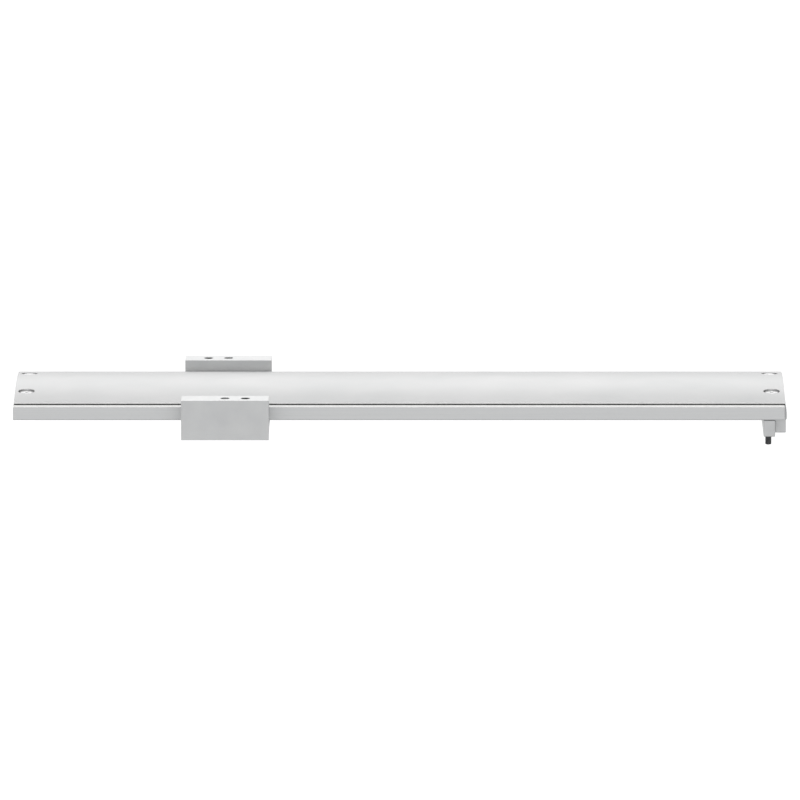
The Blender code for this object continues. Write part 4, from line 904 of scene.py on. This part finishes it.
def makeStops():
    low, high = nodeBox("left_stop_block")
    mesh = boxMesh(low, high, under["blockEdge"], 3)
    cuts, screws = [], []
    for sy in sides.values():
        x, y = (low.x + high.x) / 2, sy * under["stopScrewY"]
        cuts.append(holeMesh((x, y, 0), headSeat["m3"], low.z, low.z + under["stopSeat"], 0.25 * mm, "Z", "low"))
        screw = screwMesh(1.5 * mm, 2.75 * mm, 3.0 * mm, 1.35 * mm, 8 * mm, "cap", 0.5 * mm, 0.1 * mm)
        place = Matrix.Translation((x, y, low.z + under["blockSeat"])) @ Matrix.Rotation(math.pi, 4, "X")
        screws.append(movedMesh(screw, place))
    addPiece("left_travel_stop", carve(mesh, cuts), "block", "rail", ["left_stop_block"])
    addPiece("stop_cap_screws", joinMeshes(screws), "blackSteel", "rail", ())
    for end in ends:
        for side in sides:
            node = f"{end}_bumper_{side}"
            low, high = nodeBox(node)
            radius, thick, edge = (high.z - low.z) / 2, high.x - low.x, under["bumperEdge"]
            arc = [(radius - edge + edge * math.cos(t), thick - edge + edge * math.sin(t))
                   for t in [math.pi / 2 * (1 - k / 6) for k in range(7)]]
            profile = [(0, thick - 0.25 * mm), (radius * 0.35, thick)] + arc + [(radius, 0.5 * mm),
                                                                                (radius * 0.93, 0),
                                                                               (0, 0)]
            left = end == "left"
            addPiece(f"{end}_rubber_buffer_{side}", turnedMesh(profile, 56), "rubber", "rail", [node],
                     (low.x if left else high.x, (low.y + high.y) / 2, (low.z + high.z) / 2),
                     turns["right"] if left else turns["left"])


# guides and bearing blocks

guide = {"y": nodeCentre("guide_rail_rear").y, "width": 9.0 * mm, "pitch": 40.0 * mm, "reach": 340.0 * mm,
         "groove": 0.9 * mm, "head": 2.75 * mm, "headHeight": 2.8 * mm, "shank": 1.5 * mm, "socket": 1.3 * mm,
         "screwLength": 6.5 * mm, "screwPitch": 0.5 * mm, "knurl": 0.08 * mm, "endCap": 5.0 * mm,
         "capScrewY": 7.6 * mm}


def guideScrew(steps=48):
    return screwMesh(guide["shank"], guide["head"], guide["headHeight"], guide["socket"], guide["screwLength"],
                     "cap",
                     guide["screwPitch"], guide["knurl"], steps)


def makeGuides():
    for side, sy in sides.items():
        low, high = nodeBox(f"guide_rail_{side}")
        half, middle, bite = guide["width"] / 2, (low.z + high.z) / 2, guide["groove"]
        right = [(half, high.z, 0.35 * mm), (half, middle + bite, 0.2 * mm),
                 (half - bite, middle + 0.1 * mm, 0.25 * mm), (half - bite, middle - 0.1 * mm, 0.25 * mm),
                 (half, middle - bite, 0.2 * mm), (half, low.z, 0.35 * mm)]
        corners = right + [(-y, z, r) for y, z, r in reversed(right)]
        outline = [(sy * guide["y"] + y, z) for y, z in roundedOutline(corners, 3)]
        mesh = outlineMesh(outline, low.x, high.x, "X", 0.3 * mm)
        cuts, screws = [], []
        seat = low.z + guide["headHeight"] + 0.3 * mm
        x = guide["reach"]
        while x > -guide["reach"] - 1 * mm:
            cuts.append(holeMesh((x, sy * guide["y"], 0), guide["head"] + 0.2 * mm, low.z, seat, 0.2 * mm, "Z",
                                 "low",
                                 24))
            if abs(x) < guide["reach"] - 1 * mm:
                place = Matrix.Translation((x, sy * guide["y"], seat - 0.1 * mm)) @ Matrix.Rotation(math.pi, 4,
                                                                                                    "X")
                screws.append(movedMesh(guideScrew(24), place))
            x -= guide["pitch"]
        addPiece(f"profile_guide_{side}", carve(mesh, cuts), "guide", "rail", [f"guide_rail_{side}"])
        addPiece(f"guide_row_screws_{side}", joinMeshes(screws), "blackSteel", "rail", ())
        for end, sx in ends.items():
            addPiece(f"guide_end_screw_{side}_{end}", guideScrew(), "blackSteel", "rail",
                     [f"guide_screw_{side}_{end}"],
                     (sx * guide["reach"], sy * guide["y"], seat - 0.1 * mm), turns["down"])


def makeBearingBlocks():
    for side, sy in sides.items():
        for end in ends:
            node = f"bearing_block_{side}_{end}"
            low, high = nodeBox(node)
            y, half, channel = sy * guide["y"], (high.y - low.y) / 2, guide["width"] / 2 + 0.3 * mm
            guideLow, guideHigh = nodeBox(f"guide_rail_{side}")
            middle, floor = (guideLow.z + guideHigh.z) / 2, guideLow.z - 0.3 * mm
            bite = guide["groove"] * 0.8

            def section(outer, top, bottom, edge):
                right = [(channel, floor, 0.2 * mm), (channel, middle - bite, 0.1 * mm),
                         (channel - bite, middle, 0.25 * mm), (channel, middle + bite, 0.1 * mm),
                         (channel, top, 0.2 * mm), (outer, top, edge), (outer, bottom, edge)]
                corners = right + [(-a, b, r) for a, b, r in reversed(right)]
                return [(y + a, b) for a, b in roundedOutline(corners, 3)]

            capLength = guide["endCap"]
            body = outlineMesh(section(half, high.z, low.z, 0.5 * mm), low.x + capLength, high.x - capLength, "X",
                               0.15 * mm)
            addPiece(f"runner_{side}_{end}", body, "guide", "carriage", [node])
            caps, screws = [], []
            for inner, outer, way in ((low.x + capLength, low.x, -1), (high.x - capLength, high.x, 1)):
                xs = sorted((inner + way * 0.1 * mm, outer))
                caps.append(outlineMesh(section(half - 0.3 * mm, high.z - 0.3 * mm, low.z + 0.3 * mm, 1.1 * mm),
                                        *xs,
                                        "X", 0.4 * mm))
                for offset in (-guide["capScrewY"], guide["capScrewY"]):
                    screw = screwMesh(0.8 * mm, 1.35 * mm, 0.7 * mm, 0.6 * mm, 3 * mm, "button", 0.4 * mm, 0, 24)
                    turn = Matrix.Rotation(way * math.pi / 2, 4, "Y")
                    place = Matrix.Translation((outer - way * 0.65 * mm, y + offset, middle)) @ turn
                    screws.append(movedMesh(screw, place))
            addPiece(f"runner_end_caps_{side}_{end}", joinMeshes(caps), "acetal", "carriage", ())
            addPiece(f"runner_cap_screws_{side}_{end}", joinMeshes(screws), "stainless", "carriage", ())


# belt drive

drive = {"x": nodeCentre("drive_pulley").x, "idlerX": nodeCentre("idler_pulley").x, "teeth": 18, "pitch": 3.0 * mm,
         "tooth": 1.0 * mm, "toothGap": 0.95 * mm, "flange": 1.0 * mm, "flangeSlope": 0.35 * mm,
         "flangeEdge": 0.22 * mm,
         "beltThickness": 1.4 * mm, "beltBack": 0.55 * mm, "clearOfPulley": 11.5 * mm, "bearing": 7.0 * mm,
         "ringWall": 1.1 * mm, "ringEdge": 0.2 * mm, "shaft": 3.2 * mm, "fit": 0.06 * mm, "circlip": 4.9 * mm}
idler = {"bore": 2.56 * mm, "plate": 2.3 * mm, "upstandHalf": 7 * mm, "upstand": 6 * mm, "axleHole": 2.6 * mm,
         "axle": 2.5 * mm, "socket": 1.6 * mm, "pitch": 0.8 * mm}


def pulleyOutline(radius, gapRadius, depth, teeth, turn=0.0):
    # rounded gaps between flat-topped teeth, as on a curved-tooth pulley
    outline = []
    for tooth in range(teeth):
        middle = 2 * math.pi * tooth / teeth + turn
        spread = gapRadius / radius
        for k in range(7):
            t = -1 + 2 * k / 6
            outline.append((radius - depth * math.cos(t * math.pi / 2) ** 0.8 if abs(t) < 1 else radius,
                            middle + spread * t))
        step = 2 * math.pi / teeth
        for k in range(1, 4):
            outline.append((radius, middle + spread + (step - 2 * spread) * k / 4))
    return [(r * math.cos(a), r * math.sin(a)) for r, a in outline]


def makePulley(name, node, body, boreRadius):
    low, high = nodeBox(node)
    centre = (low + high) / 2
    pitchRadius = drive["teeth"] * drive["pitch"] / (2 * math.pi)
    toothRadius = pitchRadius - drive["beltThickness"] / 6 - 0.2 * mm
    flange, thick = (high.x - low.x) / 2, drive["flange"]
    rim = outlineMesh(pulleyOutline(toothRadius, drive["toothGap"], drive["tooth"], drive["teeth"]),
                      low.z + thick * 0.9, high.z - thick * 0.9, "Z")
    bore = turnedMesh([(0, high.z + 1 * mm), (boreRadius, high.z + 1 * mm), (boreRadius, low.z - 1 * mm),
                       (0, low.z - 1 * mm)], 48)
    rim = carve(rim, [bore])
    edge, slope = drive["flangeEdge"], drive["flangeSlope"]
    plates = []
    for bottom, top in ((low.z, low.z + thick), (high.z - thick, high.z)):
        inTop, inBottom = (top - slope, bottom) if bottom == low.z else (top, bottom + slope)
        profile = [(boreRadius + edge, top), (toothRadius - 0.4 * mm, top), (flange, inTop), (flange, inBottom),
                   (toothRadius - 0.4 * mm, bottom), (boreRadius + edge, bottom), (boreRadius, bottom + edge),
                   (boreRadius, top - edge)]
        plates.append(turnedMesh(profile, 72, (0, 0, 0), "Z", True))
    addPiece(name, joinMeshes([rim, *plates]), "pulley", body, [node], (centre.x, centre.y, 0))


def makeShaft():
    low, high = nodeBox("drive_shaft")
    radius = drive["shaft"]
    tip, groove = 0.8 * mm, 0.35 * mm
    barBottom = nodeBox("drive_crossbar")[0].z
    profile = [(0, high.z), (radius - 0.3 * mm, high.z), (radius, high.z - 0.3 * mm),
               (radius, barBottom - 0.7 * mm), (radius - groove, barBottom - 0.7 * mm),
               (radius - groove, barBottom - 1.5 * mm), (radius, barBottom - 1.5 * mm), (radius, low.z + tip),
               (radius - 0.25 * tip, low.z + tip * 0.3), (radius - tip, low.z), (1.1 * mm, low.z),
               (0.5 * mm, low.z + 0.9 * mm), (0.5 * mm, low.z + 2.2 * mm), (0, low.z + 2.5 * mm)]
    mesh = turnedMesh(profile, 64)
    flat = boxMesh((-2 * radius, radius * 0.78, low.z - 1 * mm), (2 * radius, 2 * radius, barBottom - 6 * mm))
    addPiece("drive_spindle", carve(mesh, [flat]), "blackSteel", "drive_rotor", ["drive_shaft"],
             (drive["x"], 0, 0))
    ring = []
    outer, inner = drive["circlip"], radius - groove
    for k in range(41):
        angle = math.radians(-140 + 280 * k / 40)
        ring.append((outer * math.cos(angle), outer * math.sin(angle)))
    for k in range(41):
        angle = math.radians(140 - 280 * k / 40)
        ring.append((inner * math.cos(angle), inner * math.sin(angle)))
    clip = outlineMesh(ring, barBottom - 1.4 * mm, barBottom - 0.8 * mm, "Z", 0.08 * mm)
    addPiece("spindle_circlip", clip, "blackSteel", "drive_rotor", (), (drive["x"], 0, 0))


def makeShaftBearing():
    low, high = nodeBox("shaft_bearing")
    inner, outer = drive["shaft"] + drive["fit"], drive["bearing"]
    ringWall, edge = drive["ringWall"], drive["ringEdge"]
    rings = []
    for near, far in ((inner, inner + ringWall), (outer - ringWall, outer)):
        profile = [(near + edge, high.z), (far - edge, high.z), (far, high.z - edge), (far, low.z + edge),
                   (far - edge, low.z), (near + edge, low.z), (near, low.z + edge), (near, high.z - edge)]
        rings.append(turnedMesh(profile, 56, (0, 0, 0), "Z", True))
    shieldIn, shieldOut = inner + ringWall + 0.05 * mm, outer - ringWall - 0.02 * mm
    profile = [(shieldIn, high.z - 0.35 * mm), (shieldOut, high.z - 0.2 * mm), (shieldOut, low.z + 0.2 * mm),
               (shieldIn, low.z + 0.35 * mm)]
    rings.append(turnedMesh(profile, 56, (0, 0, 0), "Z", True))
    addPiece("spindle_ball_bearing", joinMeshes(rings), "guide", "rail", ["shaft_bearing"],
             (drive["x"], 0, 0))


def makeBelt():
    low, high = nodeBox("drive_belt")
    outer = high.y
    inner = outer - drive["beltThickness"]
    toothTip = inner - 0.15 * mm
    points = []

    def arc(centre, radius, start, steps=28):
        angles = [start + math.pi * k / steps for k in range(steps + 1)]
        return [(centre + radius * math.cos(a), radius * math.sin(a)) for a in angles]

    outside = arc(drive["x"], outer, -math.pi / 2) + arc(drive["idlerX"], outer, math.pi / 2)
    valley = outer - drive["beltBack"] - 0.3 * mm
    left, right = drive["idlerX"] + drive["clearOfPulley"], drive["x"] - drive["clearOfPulley"]
    for way, start, finish in ((-1, left, right), (1, right, left)):
        span = abs(finish - start)
        count = int(span / drive["pitch"])
        step = (finish - start) / count
        for k in range(count):
            x = start + step * k
            for share, level in ((0.0, valley), (0.3, valley), (0.42, toothTip), (0.78, toothTip), (0.9, valley)):
                points.append((x + step * share, way * level))
        turnCentre = drive["x"] if way < 0 else drive["idlerX"]
        points += arc(turnCentre, inner, -math.pi / 2 if way < 0 else math.pi / 2, 24)
    mesh = beltMesh(outside, points, low.z, high.z)
    addPiece("toothed_belt", mesh, "belt", "rail", ["drive_belt"], sharp=35, weighted=False)


def beltMesh(outside, inside, bottom, top):
    # two nested loops joined by walls and by filled rims
    bm = bmesh.new()
    loops = []
    for outline in (outside, inside):
        for z in (bottom, top):
            ring = [bm.verts.new((x, y, z)) for x, y in outline]
            edges = [bm.edges.new((ring[k], ring[(k + 1) % len(ring)])) for k in range(len(ring))]
            loops.append((ring, edges))
    for lower, upper in ((loops[0][0], loops[1][0]), (loops[2][0], loops[3][0])):
        for k in range(len(lower)):
            j = (k + 1) % len(lower)
            bm.faces.new((lower[k], lower[j], upper[j], upper[k]))
    for first, second in ((loops[0][1], loops[2][1]), (loops[1][1], loops[3][1])):
        bmesh.ops.triangle_fill(bm, use_beauty=False, use_dissolve=False, edges=first + second)
    return toMesh("belt", bm)


def makeIdler():
    low, high = nodeBox("idler_carrier")
    pulleyTop = nodeBox("idler_pulley")[1].z
    plateTop = low.z + idler["plate"]
    plate = boxMesh(low, (high.x, high.y, plateTop), 0.5 * mm, 3)
    upstand = boxMesh((low.x, -idler["upstandHalf"], low.z + 1.2 * mm),
                      (low.x + idler["upstand"], idler["upstandHalf"], high.z), 0.6 * mm, 3)
    mesh = carve(plate, [upstand], "UNION")
    screw = nodeCentre("tension_screw")
    cuts = [holeMesh((drive["idlerX"], 0, 0), idler["axleHole"], low.z - past, plateTop + past),
            holeMesh(screw, clear["m5"], low.x - past, low.x + idler["upstand"] + past, 0, "X")]
    addPiece("idler_yoke", carve(mesh, cuts), "block", "rail", ["idler_carrier"])
    axleLow, axleHigh = nodeBox("idler_axle")
    head, seat = (axleHigh.x - axleLow.x) / 2, pulleyTop + 0.3 * mm
    axle = screwMesh(idler["axle"], head, axleHigh.z - seat, idler["socket"], seat - axleLow.z, "flange",
                     idler["pitch"])
    addPiece("idler_shoulder_bolt", axle, "blackSteel", "rail", ["idler_axle"],
             (drive["idlerX"], 0, seat))


# saddle carriage

saddle = {"x": nodeCentre("cross_plate").x, "edge": 0.35 * mm, "holeRadius": 4.7 * mm, "shadeLiner": 4.1 * mm,
          "holeDepth": 16.0 * mm, "holeOffset": 21.0 * mm, "seat": 17.0 * mm, "counterbore": 6.6 * mm,
          "screwHead": 4.25 * mm, "screwHeight": 5.0 * mm, "screwShank": 2.5 * mm, "socket": 2.25 * mm,
          "blockSpread": 54.0 * mm, "wallGap": 2.2 * mm, "screwIn": 13.25 * mm, "thread": 1.5 * mm,
          "plateSeat": 2.5 * mm, "smallSeat": 2.9 * mm, "smallX": 5 * mm, "smallY": 7.5 * mm, "clampX": 13 * mm}


def smallPlateScrew(plateLow, x, y):
    # the hole and the screw of one small cap screw, put in from under the cross plate
    hole = holeMesh((x, y, 0), headSeat["m3"], plateLow.z, plateLow.z + saddle["smallSeat"], 0.2 * mm, "Z",
                    "low", 24)
    screw = screwMesh(1.5 * mm, 2.75 * mm, 2.6 * mm, 1.3 * mm, 4 * mm, "cap", 0.5 * mm, 0.08 * mm, 24)
    place = Matrix.Translation((x, y, plateLow.z + 2.75 * mm)) @ Matrix.Rotation(math.pi, 4, "X")
    return hole, movedMesh(screw, place)


def makeSaddle():
    wallInner = railHigh.y + saddle["wallGap"]
    plateLow, plateHigh = nodeBox("cross_plate")
    for side, sy in sides.items():
        node = f"saddle_wall_{side}"
        low, high = nodeBox(node)
        y = (low.y + high.y) / 2
        mesh = boxMesh(low, high, saddle["edge"], 3)
        ys = sorted((sy * (wallInner - 1 * mm), sy * (wallInner + saddle["seat"])))
        rebate = boxMesh((low.x - 1 * mm, ys[0], low.z - 1 * mm), (high.x + 1 * mm, ys[1], plateHigh.z + 0.3 * mm))
        openX = saddle["x"] - sy * saddle["holeOffset"]
        cuts = [rebate,
                threadedHoleMesh((openX, y), saddle["holeRadius"], high.z - saddle["holeDepth"], high.z,
                                 saddle["thread"],
                                 0.55 * mm, 0.25 * mm),
                holeMesh((saddle["x"], y, 0), saddle["holeRadius"], high.z - saddle["counterbore"], high.z,
                         0.05 * mm,
                         steps=64),
                holeMesh((saddle["x"], y, 0), clear["m5"], plateHigh.z - past, high.z - 4 * mm)]
        for end in ends:
            spot = nodeCentre(f"plate_screw_{side}_{end}")
            cuts.append(holeMesh(spot, clear["m4"], plateHigh.z - past, 0.5 * mm))
        piece = addPiece(f"saddle_side_{side}", carve(mesh, cuts), "saddle", "carriage", [node])
        # the top faces get a paler, smoother copy of the metal: a painted highlight on the saddle tops
        piece.data.materials.append(looks["saddleTop"])
        for face in piece.data.polygons:
            if face.normal.z > 0.9 and face.center.z > high.z - saddle["edge"]:
                face.material_index = 1
        # a black liner in the open threaded hole: a dark part that paints the hole's shade
        level, shadeLinerFloor = high.z - saddle["edge"], high.z - saddle["holeDepth"] + 1 * mm
        shadeLiner = [(saddle["shadeLiner"], shadeLinerFloor), (saddle["shadeLiner"], level)]
        while level - saddle["thread"] > shadeLinerFloor:
            shadeLiner += [(saddle["shadeLiner"] - 0.3 * mm, level),
                       (saddle["shadeLiner"] - 0.85 * mm, level - saddle["thread"] / 2)]
            level -= saddle["thread"]
        addPiece(f"hole_shade_liner_{side}", turnedMesh(shadeLiner, 48, (0, 0, 0), "Z", True), "blackSteel", "carriage",
                 (),
                 (openX, y, 0))
        seat = high.z - saddle["counterbore"] + 0.1 * mm
        screwLow = nodeBox(f"saddle_screw_{side}")[0].z
        screw = screwMesh(saddle["screwShank"], saddle["screwHead"], saddle["screwHeight"], saddle["socket"],
                          seat - screwLow, "cap", 0.8 * mm, 0.12 * mm)
        # the screw down in its counterbore takes the darker stainless, painted shade, and its socket gets painted
        # shade
        piece = addPiece(f"saddle_cap_screw_{side}", screw, "shadedScrew", "carriage", [f"saddle_screw_{side}"],
                         (saddle["x"], y, seat))
        paintSocketShade(piece, saddle["socket"])
        for end in ends:
            addUpwardScrew(f"plate_cap_screw_{side}_{end}", f"plate_screw_{side}_{end}", "carriage", 2.0 * mm,
                           3.5 * mm, 2.2 * mm, 1.45 * mm, 0.7 * mm, 0.1 * mm)
    mesh = boxMesh(plateLow, plateHigh, saddle["edge"], 3)
    cuts, small = [], []
    for side, sy in sides.items():
        cuts.append(holeMesh((saddle["x"], sy * (wallInner + saddle["screwIn"]), 0), clear["m5"],
                             plateLow.z + 1 * mm,
                             plateHigh.z + past))
        for end, sx in ends.items():
            spot = nodeCentre(f"plate_screw_{side}_{end}")
            cuts.append(holeMesh(spot, headSeat["m4"], plateLow.z, plateLow.z + saddle["plateSeat"], 0.2 * mm, "Z",
                                 "low"))
            cuts.append(holeMesh(spot, clear["m4"], plateLow.z, plateHigh.z + past))
            for dx in (-saddle["smallX"], saddle["smallX"]):
                for dy in (-saddle["smallY"], saddle["smallY"]):
                    x, y = saddle["x"] + sx * saddle["blockSpread"] / 2 + dx, sy * guide["y"] + dy
                    hole, screw = smallPlateScrew(plateLow, x, y)
                    cuts.append(hole)
                    small.append(screw)
    for dx in (-saddle["clampX"], saddle["clampX"]):
        hole, screw = smallPlateScrew(plateLow, saddle["x"] + dx, beltRunY())
        cuts.append(hole)
        small.append(screw)
    addPiece("saddle_cross_plate", carve(mesh, cuts), "saddle", "carriage", ["cross_plate"])
    addPiece("runner_cap_screw_set", joinMeshes(small), "blackSteel", "carriage", ())


def makeBeltClamp():
    low, high = nodeBox("belt_clamp_post")
    jawLow, jawHigh = nodeBox("belt_clamp_jaw")
    baseTop = low.z + 3.0 * mm
    beltNear = nodeBox("drive_belt")[0].y - 0.3 * mm
    shoulder = jawLow.z - 0.3 * mm
    outside = beltRunY() - rail["slotWidth"] / 2 + 0.5 * mm
    base = boxMesh(low, (high.x, high.y, baseTop), 0.5 * mm, 3)
    neck = boxMesh((jawLow.x, outside, baseTop - 1 * mm), (jawHigh.x, jawHigh.y, shoulder), 0.3 * mm, 2)
    post = boxMesh((jawLow.x, outside, baseTop - 1 * mm), (jawHigh.x, beltNear, high.z), 0.3 * mm, 2)
    mesh = carve(base, [neck, post], "UNION")
    jaw = boxMesh(jawLow, jawHigh, 0.3 * mm, 2)
    postCuts, jawCuts = [], []
    for end in ends:
        spot = nodeCentre(f"clamp_screw_{end}")
        postCuts.append(holeMesh(spot, clear["m2"], outside - past, jawLow.y + past, 0, "Y", "high", 20))
        jawCuts.append(holeMesh(spot, clear["m2"], jawLow.y - past, jawHigh.y + past, 0, "Y", "high", 20))
    addPiece("belt_clamp_bracket", carve(mesh, postCuts), "block", "carriage", ["belt_clamp_post"])
    addPiece("belt_clamp_plate", carve(jaw, jawCuts), "block", "carriage", ["belt_clamp_jaw"])
    for end in ends:
        node = f"clamp_screw_{end}"
        spot = nodeCentre(node)
        screw = screwMesh(1.0 * mm, 1.9 * mm, 1.4 * mm, 0.85 * mm, 5.2 * mm, "button", 0.4 * mm)
        addPiece(f"clamp_button_screw_{end}", screw, "blackSteel", "carriage", [node],
                 (spot.x, jawHigh.y + 0.1 * mm, spot.z), turns["rear"])


# every piece in turn

makeRail()
makeCover()
makeStrips()
makeEndPlates()
makeEndCap()
print("rail and cover made")
makeUnderBlocks()
makeStops()
print("blocks and stops made")
makeGuides()
makeBearingBlocks()
print("guides made")
makePulley("drive_toothed_pulley", "drive_pulley", "drive_rotor", drive["shaft"] + 0.1 * mm)
makePulley("idler_toothed_pulley", "idler_pulley", "idler_rotor", idler["bore"])
makeShaft()
makeShaftBearing()
makeBelt()
makeIdler()
print("drive made")
makeSaddle()
makeBeltClamp()
print("saddle made")
